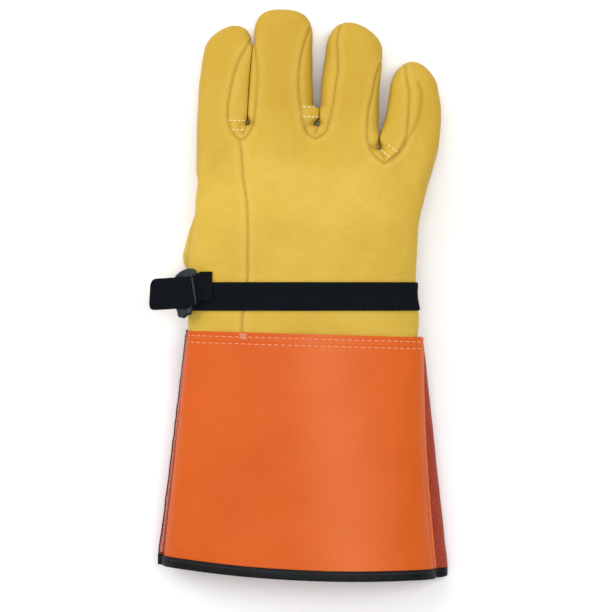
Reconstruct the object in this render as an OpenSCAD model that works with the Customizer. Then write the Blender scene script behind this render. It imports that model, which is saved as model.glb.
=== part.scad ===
// Leather protector glove for a lineman's right hand, lying on its palm with the back of the hand up.
// +X runs towards the little finger, +Y towards the fingertips and +Z up, away from the surface it lies on.
// The origin is on that surface, under the centre of the whole outline.

/* [Glove] */
// Length from the middle fingertip to the hem
glove_length = 355; // [345:5:365]
// Thickness of the hand leather
leather_t = 1.4; // [1.0:0.1:1.6]
// Length of each knuckle sleeve, the stretch of finger that folds
knuckle_l = 20; // [18:1:22]
// Half width of the oval opening that joins the thumb to the palm
thumb_hole_r = 10; // [9:0.5:11]

/* [Cuff] */
// Thickness of the coated fabric on the back of the cuff
vinyl_t = 1.0; // [0.8:0.1:1.2]
// Thickness of the split leather on the palm side of the cuff
split_t = 1.4; // [1.0:0.1:1.6]
// Width of the hem binding
hem_w = 5.6; // [5:0.2:6]
// Thickness of the hem binding over both faces
hem_t = 3.0; // [2.6:0.2:3.4]
// Width of one stitch line
thread_w = 0.8; // [0.6:0.1:1.0]

/* [Strap] */
// Width of the wrist strap
strap_w = 18; // [17:0.5:18]
// Thickness of the webbing
webbing_t = 1.5; // [1.3:0.1:1.6]
// Width of the adjusting strap and its free tail
tail_w = 19.5; // [18:0.5:20]
// Length of the buckle along its bars
buckle_l = 30.5; // [30:0.5:32]
// Width of the buckle across its bars
buckle_w = 19; // [18.5:0.5:19.5]
// Radius of the bar that the strap is looped on
bar_r = 1.5; // [1.4:0.1:1.6]

/* [Hidden] */

LEATHER = "goldenrod";
VINYL = "darkorange";
SPLIT = "sienna";
BLACK = [0.06, 0.06, 0.07];
THREAD = "wheat";

design_length = 355;
k = glove_length / design_length;
far = 400;               // reaches past the whole glove
skin = 0.02;             // thickness of a section slab
section_points = 20;
section_power = 2.5;     // 2 is an ellipse, more is boxier

// Height of the glove's middle surface along Y: the cuff lies down, the hand is propped on the thumb.
mid_line = [[-182, 20], [-36, 25.5], [-10, 28.5], [20, 31.2], [45, 31.6], [70, 30.2],
            [90, 27.6], [115, 22.6], [140, 17], [165, 12], [182, 10]];
// The sewn edge between back and palm runs a little under the middle.
seam_drop = 3;

// Sections of the hand: [x of the centre, y, half width, half depth].
hand = [[2.6, -37, 69.6, 12.6], [2.6, -15, 71.8, 13.7], [1.8, 0, 71.2, 13.8], [2, 21, 71, 14],
        [2.8, 34, 70.8, 14], [4.3, 46, 70.4, 13.8], [6.5, 58, 70.8, 13.4], [9.3, 72, 72.2, 12.8],
        [11.4, 88.6, 74.8, 11.3]];
// The hand's end behind the first three fingers.
hand_end = [[-7.6, 78, 55.6, 11.8], [-8, 106, 55.2, 8.6]];

// Sections of each finger from its root to the start of its rounded tip, as for the hand.
index = [[-47.6, 50, 14.8, 7.4], [-47.8, 77, 15.4, 9.3], [-48.2, 101, 15.2, 10.7], [-47.2, 128, 15.3, 10.3],
         [-45.7, 145, 14.5, 9.8], [-43.6, 153, 13.9, 9.4]];
middle = [[-10.6, 60, 18.6, 10.2], [-10.4, 104, 19.4, 11.6], [-10.6, 128, 19.2, 11],
          [-10.5, 146, 18.3, 10.2], [-10.4, 161, 18, 9.6]];
ring = [[30, 57, 17, 10], [30.3, 90, 17.8, 11.4], [30.6, 109, 17.9, 11.5], [31.3, 128, 18, 10.8],
        [33, 146, 17.7, 10], [34.2, 154, 17.4, 9.6]];
little = [[62.5, 44, 14.6, 7], [65.2, 68, 16.2, 9], [68.2, 87, 18, 10.4], [69, 98, 18.3, 10.5],
          [70.4, 108, 17.2, 10.2], [70.9, 120, 16.4, 9.6], [70.6, 128.3, 15.2, 9]];
// Rounded tips: [length, sideways shift of the top, roundness power].
index_tip = [13.5, 3, 2.1];
middle_tip = [16, 0, 3];
ring_tip = [15.5, -4, 2.3];
little_tip = [15.2, -0.5, 2.1];
tip_steps = [0.45, 0.75, 0.93, 0.995];

// Where each finger folds.
index_fold_y = 130;
middle_fold_y = 134;
ring_fold_y = 134;
little_fold_y = 111;

// Sewn lines on the back, as the hand's outline between two fingers: left branch up, right branch up.
index_middle_left = [[-36.6, 95.2], [-40.6, 99.5], [-43.4, 107], [-43.7, 116], [-41.9, 128],
                     [-38.4, 142], [-33.5, 152], [-29.4, 160]];
index_middle_right = [[-36.6, 95.2], [-32.2, 97.3], [-28.5, 105], [-26.7, 117.5], [-25.7, 133],
                      [-26.4, 146], [-28.8, 162]];
middle_ring_left = [[10, 96.2], [5.7, 99.3], [2.6, 106.6], [1, 116.4], [-0.2, 127.4], [0.2, 139.7],
                    [2, 150.7], [7.6, 167]];
middle_ring_right = [[10, 96.2], [15.5, 99.3], [18.6, 106.6], [21, 116.4], [22.3, 127.4],
                     [24.1, 139.7], [23.6, 158], [27.2, 170]];
ring_little_left = [[52.9, 80.2], [47.4, 84.5], [43.7, 90.6], [41.9, 98], [43.1, 114],
                    [45.5, 123.8], [46.8, 133.6], [47.6, 148], [47, 160]];
ring_little_right = [[52.9, 80.2], [56.5, 83.3], [62.1, 88.2], [65.7, 95.5], [67.6, 114],
                     [68.2, 124], [66.5, 135], [66, 145]];
// Middle of each gap between two fingers.
index_middle_gap = [[-35, 90], [-32, 98], [-30.8, 124], [-30.2, 140], [-29.2, 152], [-29, far]];
middle_ring_gap = [[10, 90], [10.8, 100], [11, 107], [11.2, 128], [11.4, 140], [13, far]];
ring_little_gap = [[54, 76], [51, 84], [49.4, 92], [50, 102], [51, 121], [52.6, 140], [56, far]];
// The long seam down the back, from the first fork to the cuff.
back_seam = [[-36.6, 95.2], [-34.6, 80], [-31.9, 55], [-31.4, 8], [-34.8, -14], [-35, -60]];

// Thumb, folded flat under the palm: it turns about its round opening.
thumb_pivot = [-52, 30];
thumb_hole_stretch = 1.5;
thumb = [[-52, 26, 19.2, 7.7], [-49.5, 42, 18.4, 7.7], [-45, 58, 17, 7.6], [-39.5, 72, 15.8, 7.4]];
thumb_tip = [14, 3, 2.2];
thumb_mid_z = 7.5;
thumb_root_steps = [-0.95, -0.75, -0.45];

// Cuff, from its sewn edge to the hem. Each pair is [at the hand, at the hem].
cuff_left = [-70.6, -84.8];
cuff_right = [76.2, 85.2];
cuff_split_left = [-73, -88];
cuff_split_right = [77.4, 93];
cuff_wall_in = [-1.2, 2.4];
cuff_floor = [11, 0];
cuff_fold_r = [7, 7.4];
cuff_crown = [16.6, 28];
cuff_top_y = [-22.6, -28];      // at the left and right ends
hem_lowest = [25, -177.5];      // where the hem's arc reaches furthest down
hem_bow = 0.00078;
cuff_gap = 0.3;                 // between the two panels of the cuff, above the split leather's edges

// Wrist strap and buckle.
strap_y = -1.4;
strap_clear = 0.9;              // webbing lies this far off the leather
buckle_at = [-65.4, 1, 41.4];
buckle_turn = -9;
buckle_lean = -36;
loop_rise = -20;                // the loop leans with its strap's end
frame_t = 3.2;                  // thickness of the buckle's frame
post_w = 2.75;                  // width of its two ends
loop_clear = 0.08;

function flatten(rows) = [for (row = rows) each row];
function reverse(list) = [for (i = [len(list) - 1:-1:0]) list[i]];
function mid_z(y) = lookup(y, mid_line);
function signed_power(v, p) = sign(v) * pow(abs(v), p);
function section_outline(a, b) = [
    for (i = [0:section_points - 1])
    let (t = 360 * i / section_points)
    [a * signed_power(cos(t), 2 / section_power), b * signed_power(sin(t), 2 / section_power)]
];
// The stations of a rounded tip that follows a chain's last station.
function tip_stations(last, tip, inset) = [
    for (f = tip_steps)
    let (size = pow(1 - pow(f, tip[2]), 1 / tip[2]))
    [last[0] + tip[1] * f * f, last[1] + f * (tip[0] - inset), last[2] * size, last[3] * size]
];
function with_tip(chain, tip, inset) = concat(chain, tip_stations(chain[len(chain) - 1], tip, inset));

// One section of a chain, upright and square to Y.
module section_slab(st, z, inset) {
    a = max(st[2] - inset, 0.5);
    b = max(st[3] - inset, 0.5);
    translate([st[0] * k, st[1] * k, z])
        rotate([90, 0, 0])
            linear_extrude(skin, center = true)
                polygon(section_outline(a * k, b));
}

// A run of sections, joined two by two. The height follows mid_line unless level is given.
module chain_solid(stations, inset, level = undef) {
    for (i = [0:len(stations) - 2]) {
        hull() {
            for (st = [stations[i], stations[i + 1]]) {
                section_slab(st, is_undef(level) ? mid_z(st[1]) : level, inset);
            }
        }
    }
}

module finger_solids(inset) {
    chain_solid(with_tip(index, index_tip, inset), inset);
    chain_solid(with_tip(middle, middle_tip, inset), inset);
    chain_solid(with_tip(ring, ring_tip, inset), inset);
    chain_solid(with_tip(little, little_tip, inset), inset);
}

// The stations with the last one drawn back, so that the end keeps its wall.
function short_end(chain, inset) = [
    for (i = [0:len(chain) - 1])
    let (st = chain[i])
    i < len(chain) - 1 ? st : [st[0], st[1] - inset, st[2], st[3]]
];

module hand_solids(inset, open_end) {
    chain_solid(short_end(hand, inset), inset);
    chain_solid(short_end(hand_end, inset), inset);
    // the inside runs out through the wrist
    if (open_end) chain_solid([[hand[0][0], hand[0][1] - 5, hand[0][2], hand[0][3]], hand[0]], inset);
}

// The leather skin of the whole hand, one wall thick.
module hand_skin() {
    difference() {
        union() {
            hand_solids(0, false);
            finger_solids(0);
        }
        union() {
            hand_solids(leather_t, true);
            finger_solids(leather_t);
        }
    }
}

// Everything above (side 1) or below (side -1) the sewn edge between back and palm.
module half_space(side) {
    line = [for (p = mid_line) [p[0] * k, p[1] - seam_drop]];
    last_z = line[len(line) - 1][1];
    edge = side * far;
    rotate([90, 0, 90])
        linear_extrude(2 * far, center = true)
            polygon(concat([[-far, line[0][1]]], line, [[far, last_z], [far, edge], [-far, edge]]));
}

module upright(points) {
    linear_extrude(2 * far, center = true) polygon([for (p = points) p * k]);
}

// The part of the plan between two sewn lines that meet at a fork.
module fork_plan(left, right) {
    upright(concat(reverse(left), [for (i = [1:len(right) - 1]) right[i]],
                   [[right[len(right) - 1][0], far], [left[len(left) - 1][0], far]]));
}
module fork_plans() {
    fork_plan(index_middle_left, index_middle_right);
    fork_plan(middle_ring_left, middle_ring_right);
    fork_plan(ring_little_left, ring_little_right);
}

// The strip of plan between two gap lines.
module finger_plan(left_gap, right_gap) {
    upright(concat(left_gap, reverse(right_gap)));
}
far_left_gap = [[-far, 60], [-far, far]];
far_right_gap = [[far, 60], [far, far]];
module index_plan() { finger_plan(far_left_gap, index_middle_gap); }
module middle_plan() { finger_plan(index_middle_gap, middle_ring_gap); }
module ring_plan() { finger_plan(middle_ring_gap, ring_little_gap); }
module little_plan() { finger_plan(ring_little_gap, far_right_gap); }

// A finger's stretch of Y: its root, its knuckle sleeve or its end.
module past_root(fold_y) { y_range(fold_y * k - knuckle_l / 2, far); }
module sleeve_range(fold_y) { y_range(fold_y * k - knuckle_l / 2 + 0.2, fold_y * k + knuckle_l / 2 - 0.2); }
module end_range(fold_y) { y_range(fold_y * k + knuckle_l / 2, far); }
module y_range(low, high) {
    translate([-far, low, -far]) cube([2 * far, high - low, 2 * far]);
}

// Everything of the plan from the knuckle sleeves on, which the hand's own panels leave out.
module finger_ends() {
    intersection() { index_plan(); past_root(index_fold_y); }
    intersection() { middle_plan(); past_root(middle_fold_y); }
    intersection() { ring_plan(); past_root(ring_fold_y); }
    intersection() { little_plan(); past_root(little_fold_y); }
}

// The plan on the thumb side of the long back seam, with the index finger's back.
module index_side_plan() {
    left_branch = [for (i = [len(index_middle_left) - 1:-1:1]) index_middle_left[i]];
    upright(concat([[-far, far], [-29.4, far]], left_branch, back_seam, [[-far, -60]]));
}

module hand_back_panel() {
    color(LEATHER) difference() {
        intersection() { hand_skin(); half_space(1); }
        fork_plans();
        index_side_plan();
        finger_ends();
    }
}

module index_side_panel() {
    color(LEATHER) difference() {
        intersection() { hand_skin(); half_space(1); index_side_plan(); }
        fork_plans();
        finger_ends();
    }
}

module hand_palm_panel() {
    color(LEATHER) difference() {
        intersection() { hand_skin(); half_space(-1); }
        fork_plans();
        finger_ends();
        thumb_oval(thumb_hole_r, -1);
    }
}

// An upright oval rod over the thumb's root, from the given height to the palm's middle surface.
module thumb_oval(r, low) {
    translate([thumb_pivot[0] * k, thumb_pivot[1] * k, low])
        scale([1, thumb_hole_stretch, 1])
            cylinder(h = mid_z(thumb_pivot[1]) - low, r = r, $fn = 48);
}

module fork_gusset(left, right) {
    color(LEATHER) difference() {
        intersection() { hand_skin(); fork_plan(left, right); }
        finger_ends();
    }
}
module index_middle_fork_gusset() { fork_gusset(index_middle_left, index_middle_right); }
module middle_ring_fork_gusset() { fork_gusset(middle_ring_left, middle_ring_right); }
module ring_little_fork_gusset() { fork_gusset(ring_little_left, ring_little_right); }

// The four knuckle sleeves: the whole way round each finger, where it folds.
module index_knuckle_sleeve() {
    color(LEATHER) intersection() { hand_skin(); index_plan(); sleeve_range(index_fold_y); }
}
module middle_knuckle_sleeve() {
    color(LEATHER) intersection() { hand_skin(); middle_plan(); sleeve_range(middle_fold_y); }
}
module ring_knuckle_sleeve() {
    color(LEATHER) intersection() { hand_skin(); ring_plan(); sleeve_range(ring_fold_y); }
}
module little_knuckle_sleeve() {
    color(LEATHER) intersection() { hand_skin(); little_plan(); sleeve_range(little_fold_y); }
}

// The end of one finger: its back or palm leather, without the walls between fingers.
module finger_face(side, fold_y) {
    color(LEATHER) difference() {
        intersection() { hand_skin(); half_space(side); children(); end_range(fold_y); }
        fork_plans();
    }
}
// The end of one wall between fingers.
module finger_wall(left, right, fold_y) {
    color(LEATHER) intersection() { hand_skin(); fork_plan(left, right); children(); end_range(fold_y); }
}

module index_back() { finger_face(1, index_fold_y) index_plan(); }
module index_palm() { finger_face(-1, index_fold_y) index_plan(); }
module index_inner_fourchette() {
    finger_wall(index_middle_left, index_middle_right, index_fold_y) index_plan();
}
module middle_back() { finger_face(1, middle_fold_y) middle_plan(); }
module middle_palm() { finger_face(-1, middle_fold_y) middle_plan(); }
module middle_index_side_fourchette() {
    finger_wall(index_middle_left, index_middle_right, middle_fold_y) middle_plan();
}
module middle_ring_side_fourchette() {
    finger_wall(middle_ring_left, middle_ring_right, middle_fold_y) middle_plan();
}
module ring_back() { finger_face(1, ring_fold_y) ring_plan(); }
module ring_palm() { finger_face(-1, ring_fold_y) ring_plan(); }
module ring_middle_side_fourchette() {
    finger_wall(middle_ring_left, middle_ring_right, ring_fold_y) ring_plan();
}
module ring_little_side_fourchette() {
    finger_wall(ring_little_left, ring_little_right, ring_fold_y) ring_plan();
}
module little_back() { finger_face(1, little_fold_y) little_plan(); }
module little_palm() { finger_face(-1, little_fold_y) little_plan(); }
module little_inner_fourchette() {
    finger_wall(ring_little_left, ring_little_right, little_fold_y) little_plan();
}

// Thumb: a round root over its pivot, a tapering tube and a rounded tip.
function thumb_root(inset) = [
    for (f = thumb_root_steps)
    let (size = sqrt(1 - f * f))
    [thumb[0][0], thumb[0][1] + f * (thumb[0][2] - inset), thumb[0][2] * size, thumb[0][3] * sqrt(size)]
];
module thumb_solid(inset) {
    chain_solid(concat(thumb_root(inset), with_tip(thumb, thumb_tip, inset)), inset, thumb_mid_z);
}
module thumb_half(side) {
    color(LEATHER) difference() {
        thumb_solid(0);
        thumb_solid(leather_t);
        translate([-far, -far, side > 0 ? thumb_mid_z - far : thumb_mid_z]) cube([2 * far, 2 * far, far]);
        // a flat foot where the thumb bears on the surface
        translate([-far, -far, -far]) cube([2 * far, 2 * far, far]);
        if (side > 0) thumb_oval(thumb_hole_r, thumb_mid_z);
    }
}
module thumb_back() { thumb_half(-1); }
module thumb_front() { thumb_half(1); }

// The soft leather collar that joins the thumb's opening to the palm's.
module thumb_collar() {
    color(LEATHER) difference() {
        thumb_oval(thumb_hole_r + leather_t, thumb_mid_z);
        thumb_oval(thumb_hole_r, thumb_mid_z - 1);
        thumb_solid(0);
        hand_solids(0, false);
    }
}

// A closed solid between two equal grids of points.
module solid_between(upper, lower) {
    rows = len(upper);
    cols = len(upper[0]);
    n = rows * cols;
    up = [for (i = [0:rows - 2], j = [0:cols - 2])
        let (a = i * cols + j, b = a + 1, c = a + cols, d = c + 1) each [[a, b, d], [a, d, c]]];
    down = [for (f = up) [f[0] + n, f[2] + n, f[1] + n]];
    ring = concat([for (j = [0:cols - 1]) j], [for (i = [1:rows - 1]) i * cols + cols - 1],
                  [for (j = [cols - 2:-1:0]) (rows - 1) * cols + j], [for (i = [rows - 2:-1:1]) i * cols]);
    rim = [for (i = [0:len(ring) - 1])
        let (a = ring[i], b = ring[(i + 1) % len(ring)]) each [[b, a, a + n], [b, a + n, b + n]]];
    polyhedron(concat(flatten(upper), flatten(lower)), concat(up, down, rim));
}

function mix(pair, t) = pair[0] + (pair[1] - pair[0]) * t;
function hem_y(x) = hem_lowest[1] + hem_bow * pow(x - hem_lowest[0], 2);
function cuff_y(x, v, extra) =
    let (share = (x - cuff_left[0]) / (cuff_right[0] - cuff_left[0]), top = mix(cuff_top_y, share))
    top + (hem_y(x) + hem_w - top) * v - extra;

// Height of the back panel's lower edges.
function cuff_base(v) = mix(cuff_floor, v) + 2 * mix(cuff_fold_r, v) + cuff_gap;

// Back of the cuff: a crown from the left side seam to the rolled right edge.
cuff_steps = 18;
function cuff_back_point(u, v, off, extra = 0) =
    let (left = mix(cuff_left, v), right = mix(cuff_right, v), t = 180 * (1 - u),
         a = (right - left) / 2 + off, b = mix(cuff_crown, v) + off,
         x = (left + right) / 2 + a * signed_power(cos(t), 2 / section_power),
         z = cuff_base(v) + b * signed_power(sin(t), 2 / section_power))
    [x * k, cuff_y(x, v, extra) * k, z];

// Palm side of the cuff, as an outline seen along Y: a standing seam edge at the left, the left wall,
// the floor, and the loose fold at the right that the back panel's edge lies on.
function cuff_palm_outline(v) =
    let (seam = mix(cuff_split_left, v), wall = mix(cuff_left, v) + mix(cuff_wall_in, v),
         right = mix(cuff_split_right, v), floor_z = mix(cuff_floor, v), r = mix(cuff_fold_r, v),
         ledge = cuff_base(v) - cuff_gap - split_t)
    concat(
        [[seam, ledge], [wall - 0.6, ledge], [wall, ledge - 0.6], [wall, floor_z + r]],
        [for (t = [200:20:260]) [wall + r + r * cos(t), floor_z + r + r * sin(t)]],
        [for (f = [0:0.25:1]) [mix([wall + r, right - r], f), floor_z]],
        [for (t = [290:20:430]) [right - r + r * cos(t), floor_z + r + r * sin(t)]]
    );
function side_step(a, b) = let (d = b - a) [-d[1], d[0]] / norm(d);
// The outline moved sideways, square to its own run: positive is outwards.
function outline_off(line, off) = [
    for (i = [0:len(line) - 1])
    let (n1 = side_step(line[max(i - 1, 0)], line[max(i, 1)]),
         n2 = side_step(line[min(i, len(line) - 2)], line[min(i + 1, len(line) - 1)]),
         m = n1 + n2)
    line[i] - m * 2 / (m * m) * off
];
function cuff_palm_row(v, off, extra = 0) = [
    for (p = outline_off(cuff_palm_outline(v), off)) [p[0] * k, cuff_y(p[0], v, extra) * k, p[1]]
];

function back_grid(us, vs, off, extra = 0) = [
    for (v = vs)
    [for (u = us) cuff_back_point(u, v, off, extra)]
];
all_us = [for (i = [0:cuff_steps]) i / cuff_steps];
cuff_vs = [0, 0.25, 0.5, 0.75, 1];

module cuff_back_panel() {
    color(VINYL) solid_between(back_grid(all_us, cuff_vs, 0), back_grid(all_us, cuff_vs, -vinyl_t));
}
module cuff_palm_panel() {
    inner = [for (v = cuff_vs) cuff_palm_row(v, -split_t)];
    outer = [for (v = cuff_vs) cuff_palm_row(v, 0)];
    color(SPLIT) solid_between(inner, outer);
}

// Hem binding: a thicker band that carries on from each panel's edge.
hem_grow = (hem_t - vinyl_t) / 2;
module hem_binding_back() {
    color(BLACK) solid_between(hem_grid_back(hem_grow), hem_grid_back(-vinyl_t - hem_grow));
}
hem_us = concat([0.012], [for (i = [1:cuff_steps - 1]) i / cuff_steps], [0.988]);
function hem_grid_back(off) = [for (e = [0.05, hem_w]) [for (u = hem_us) cuff_back_point(u, 1, off, e)]];
module hem_binding_palm() {
    color(BLACK) solid_between(hem_rows_palm(-split_t - hem_grow), hem_rows_palm(0));
}
function hem_rows_palm(off) = [for (e = [0.05, hem_w]) cuff_palm_row(1, off, e)];

// Stitch lines, as narrow raised bands on the panels.
thread_rise = 0.4;
thread_gap = 0.12;
// The panel is 149 long, so that share of its run lies that far below its top edge.
module back_thread(down) {
    us = [for (i = [1:cuff_steps - 1]) i / cuff_steps];
    rows = [down, down + thread_w];
    upper = [for (e = rows) [for (u = us) cuff_back_point(u, e / 149, thread_rise + thread_gap)]];
    lower = [for (e = rows) [for (u = us) cuff_back_point(u, e / 149, thread_gap)]];
    color(THREAD) solid_between(upper, lower);
}
module cuff_seam_thread_upper() { back_thread(4.2); }
module cuff_seam_thread_lower() { back_thread(8.5); }
module hem_thread() {
    us = [for (i = [1:cuff_steps - 1]) i / cuff_steps];
    rows = [1.4, 1.4 + thread_w];
    upper = [for (e = rows) [for (u = us) cuff_back_point(u, 1, hem_grow + thread_rise, e)]];
    lower = [for (e = rows) [for (u = us) cuff_back_point(u, 1, hem_grow + 0.05, e)]];
    color(BLACK) solid_between(upper, lower);
}
// The left side seam's stitches, on the split leather's standing edge.
function ledge_point(v, in_from_edge, rise) =
    let (x = mix(cuff_split_left, v) + in_from_edge)
    [x * k, cuff_y(x, v, 0) * k, cuff_base(v) - cuff_gap + rise];
module cuff_side_seam_thread() {
    vs = [for (i = [0:8]) 0.03 + 0.94 * i / 8];
    rows = [0.7, 0.7 + thread_w];
    upper = [for (e = rows) [for (v = vs) ledge_point(v, e, 0.05 + thread_rise)]];
    lower = [for (e = rows) [for (v = vs) ledge_point(v, e, 0.05)]];
    color(THREAD) solid_between(lower, upper);
}
// The close stitching where the long back seam meets the cuff.
module bar_tack() {
    us = [0.20, 0.215, 0.23];
    upper = [for (e = [1, 3.4]) [for (u = us) cuff_back_point(u, 0, thread_rise + 0.15, e)]];
    lower = [for (e = [1, 3.4]) [for (u = us) cuff_back_point(u, 0, 0.05, e)]];
    color(THREAD) solid_between(upper, lower);
}

// Webbing that follows the wrist. Turn runs from 0 at the right edge over the back to 180 at the left.
function wrist_point(turn, y, off) =
    let (st = hand[2], a = st[2] + off, b = st[3] + off)
    [(st[0] + a * signed_power(cos(turn), 2 / section_power)) * k, y * k,
     mid_z(y) + b * signed_power(sin(turn), 2 / section_power)];
function wrist_grid(turns, w, y, off) = [
    for (e = [w / 2, -w / 2])
    [for (t = turns) wrist_point(t, y + e, off)]
];
module wrist_band(turns, w, y, low) {
    color(BLACK) solid_between(wrist_grid(turns, w, y, low + webbing_t), wrist_grid(turns, w, y, low));
}
module wrist_strap() {
    wrist_band([for (t = [133:-9.65:-60]) t], strap_w, strap_y, strap_clear);
}
module adjusting_strap() {
    wrist_band([for (t = [172:8.5:240]) t], tail_w, strap_y + 1.5, strap_clear);
}

// Buckle frame: the looped bar is the pivot, at the local origin, and the frame reaches towards -X.
module at_buckle() {
    translate([buckle_at[0] * k, buckle_at[1] * k, buckle_at[2]])
        rotate([0, 0, buckle_turn])
            rotate([0, buckle_lean, 0])
                children();
}
module bar(x, r, z = 0) {
    translate([x, 0, z]) rotate([90, 0, 0]) cylinder(h = buckle_l, r = r, center = true, $fn = 32);
}
module buckle() {
    slot_x = buckle_w - 2 * bar_r;
    color(BLACK) at_buckle() {
        bar(0, bar_r);
        bar(-slot_x * 0.52, 1.2, 0.3);
        bar(-slot_x, bar_r);
        for (side = [-1, 1]) {
            hull() {
                for (x = [0, -slot_x]) {
                    translate([x, side * (buckle_l - post_w) / 2, 0])
                        rotate([90, 0, 0]) cylinder(h = post_w, r = frame_t / 2, center = true, $fn = 32);
                }
            }
        }
    }
}

// The strap's folded end: round the buckle's bar, with both layers sewn together where the strap starts.
loop_l = 11;
module loop_outline(r, tip_low, tip_high, reach) {
    hull() {
        circle(r = r, $fn = 48);
        translate([reach, tip_low]) square([0.02, tip_high - tip_low]);
    }
}
module strap_loop() {
    inner = bar_r + loop_clear;
    outer = inner + webbing_t;
    color(BLACK) translate([buckle_at[0] * k, buckle_at[1] * k, buckle_at[2]])
        rotate([0, 0, buckle_turn])
            rotate([0, loop_rise, 0])
                translate([0, -0.4, 0])
                    rotate([90, 0, 0])
                        linear_extrude(strap_w, center = true)
                            difference() {
                                loop_outline(outer, -outer, -outer + 2 * webbing_t, loop_l);
                                loop_outline(inner, -inner, -inner + 0.02, loop_l - 1.6);
                            }
}

// The free tail: over the buckle's middle bar and out to the left.
tail_l = 26;
tail_reach = 8;
module strap_tail() {
    slot_x = buckle_w - 2 * bar_r;
    color(BLACK) at_buckle()
        translate([-slot_x, 0, frame_t / 2 + 0.3]) {
            difference() {
                translate([-tail_l + tail_reach, -tail_w / 2, 0]) cube([tail_l, tail_w, webbing_t]);
                for (side = [-1, 1]) corner_cut(-tail_l + tail_reach, side);
            }
        }
}
corner_r = 4;
module corner_cut(x, side) {
    translate([x, side * tail_w / 2, -1]) difference() {
        translate([-1, side > 0 ? -corner_r : -1, 0]) cube([corner_r + 1, corner_r + 1, webbing_t + 2]);
        translate([corner_r, -side * corner_r, -1]) cylinder(h = webbing_t + 4, r = corner_r, $fn = 32);
    }
}

hand_back_panel();
index_side_panel();
hand_palm_panel();
index_middle_fork_gusset();
middle_ring_fork_gusset();
ring_little_fork_gusset();
index_knuckle_sleeve();
middle_knuckle_sleeve();
ring_knuckle_sleeve();
little_knuckle_sleeve();
index_back();
index_palm();
index_inner_fourchette();
middle_back();
middle_palm();
middle_index_side_fourchette();
middle_ring_side_fourchette();
ring_back();
ring_palm();
ring_middle_side_fourchette();
ring_little_side_fourchette();
little_back();
little_palm();
little_inner_fourchette();
thumb_collar();
thumb_back();
thumb_front();
cuff_back_panel();
cuff_palm_panel();
hem_binding_back();
hem_binding_palm();
cuff_seam_thread_upper();
cuff_seam_thread_lower();
hem_thread();
cuff_side_seam_thread();
bar_tack();
wrist_strap();
strap_loop();
adjusting_strap();
buckle();
strap_tail();
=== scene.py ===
"""Leather protector glove: the looks of the glove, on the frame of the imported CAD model.

Shapes are written in millimetres and turned to metres when a piece is made.
"""

import math

import bmesh
import bpy
import numpy as np
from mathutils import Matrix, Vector, noise
from mathutils.bvhtree import BVHTree


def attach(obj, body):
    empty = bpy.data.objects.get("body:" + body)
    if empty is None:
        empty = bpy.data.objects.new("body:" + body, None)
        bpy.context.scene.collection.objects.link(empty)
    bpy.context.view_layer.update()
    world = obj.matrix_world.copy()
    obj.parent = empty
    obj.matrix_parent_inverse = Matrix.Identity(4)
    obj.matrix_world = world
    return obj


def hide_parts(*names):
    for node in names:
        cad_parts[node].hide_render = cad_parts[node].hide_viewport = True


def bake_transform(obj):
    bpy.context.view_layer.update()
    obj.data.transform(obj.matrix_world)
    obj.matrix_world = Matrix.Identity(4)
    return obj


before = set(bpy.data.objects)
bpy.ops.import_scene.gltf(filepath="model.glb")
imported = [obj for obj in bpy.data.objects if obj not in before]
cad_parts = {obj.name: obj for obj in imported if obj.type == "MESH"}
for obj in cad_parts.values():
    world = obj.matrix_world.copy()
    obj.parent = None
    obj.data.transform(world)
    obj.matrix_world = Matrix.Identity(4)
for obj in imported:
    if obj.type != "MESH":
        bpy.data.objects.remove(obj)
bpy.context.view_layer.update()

MM = 0.001

# ---------------------------------------------------------------- driving sizes, in mm

VOXEL = 0.85             # size of the hand mesh's faces
THUMB_VOXEL = 0.8
LEATHER_T = 1.2
SECTION_POWER = 2.5      # 2 is an ellipse, more is boxier
FINGER_POWER = 3.3
CLOSE_SPREAD = 9.0       # how far into a finger its wall's shift is spread
TOUCH_POWER = 7.0        # boxiness of two fingers' touching sides
TOUCH_GAP = 0.13
GAP_HALF = 1.3           # kept free on each side of a gap while the fingers are meshed
SEAM_DROP = 3.0          # side seams run this far under the middle
KNUCKLE_L = 22.0         # stretch of finger about the knuckle line
ROOT_MARGIN = 3.0        # finger pieces reach this far behind the fold
HAND_END_Y = -35         # the hand's leather ends here, under the cuff

# Height of the hand's middle surface along Y.
MID_LINE = [[-182, 20], [-36, 25.5], [-10, 28.5], [20, 31.2], [45, 31.6], [70, 30.2],
            [90, 27.6], [115, 22.6], [140, 17], [165, 12], [182, 10]]

# Sections: x of the centre, y, half width, half depth.
HAND = [[2.6, -37, 69.2, 12.6], [2.8, -16, 71.2, 13.7], [1.9, 0, 70.4, 13.8], [2.4, 21, 70, 14],
        [3.4, 34, 69.4, 14], [4.9, 46, 69, 13.8], [6.7, 58, 70, 13.4], [9.4, 72, 71.4, 12.8],
        [11.4, 88.6, 74, 11.3]]
WEB = [[-7.6, 74, 55.6, 11.8], [-8, 90, 55.4, 11.3], [-8, 104, 55.2, 8.8]]
INDEX = [[-47.4, 48, 14, 6.5], [-47.5, 66, 14.6, 7.8], [-47.6, 84, 15, 9.6], [-47.9, 102, 14.9, 10.9],
         [-46.8, 128, 15.1, 10.4], [-45.2, 142, 15, 9.8], [-44, 150, 14.9, 9.4]]
MIDDLE = [[-10.6, 56, 18.4, 9.5], [-10.6, 76, 18.8, 11.6], [-10.4, 104, 19, 11.9], [-10.7, 128, 18.9, 11.2],
          [-10.2, 146, 18.4, 10.4], [-9.7, 160, 17.9, 9.8]]
RING = [[30, 54, 17, 9.5], [30.2, 74, 17.4, 11.3], [30.8, 106, 17.9, 11.8], [31.8, 128, 17.9, 11],
        [33.2, 142, 17.7, 10.2], [34.1, 152, 17.3, 9.8]]
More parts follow.
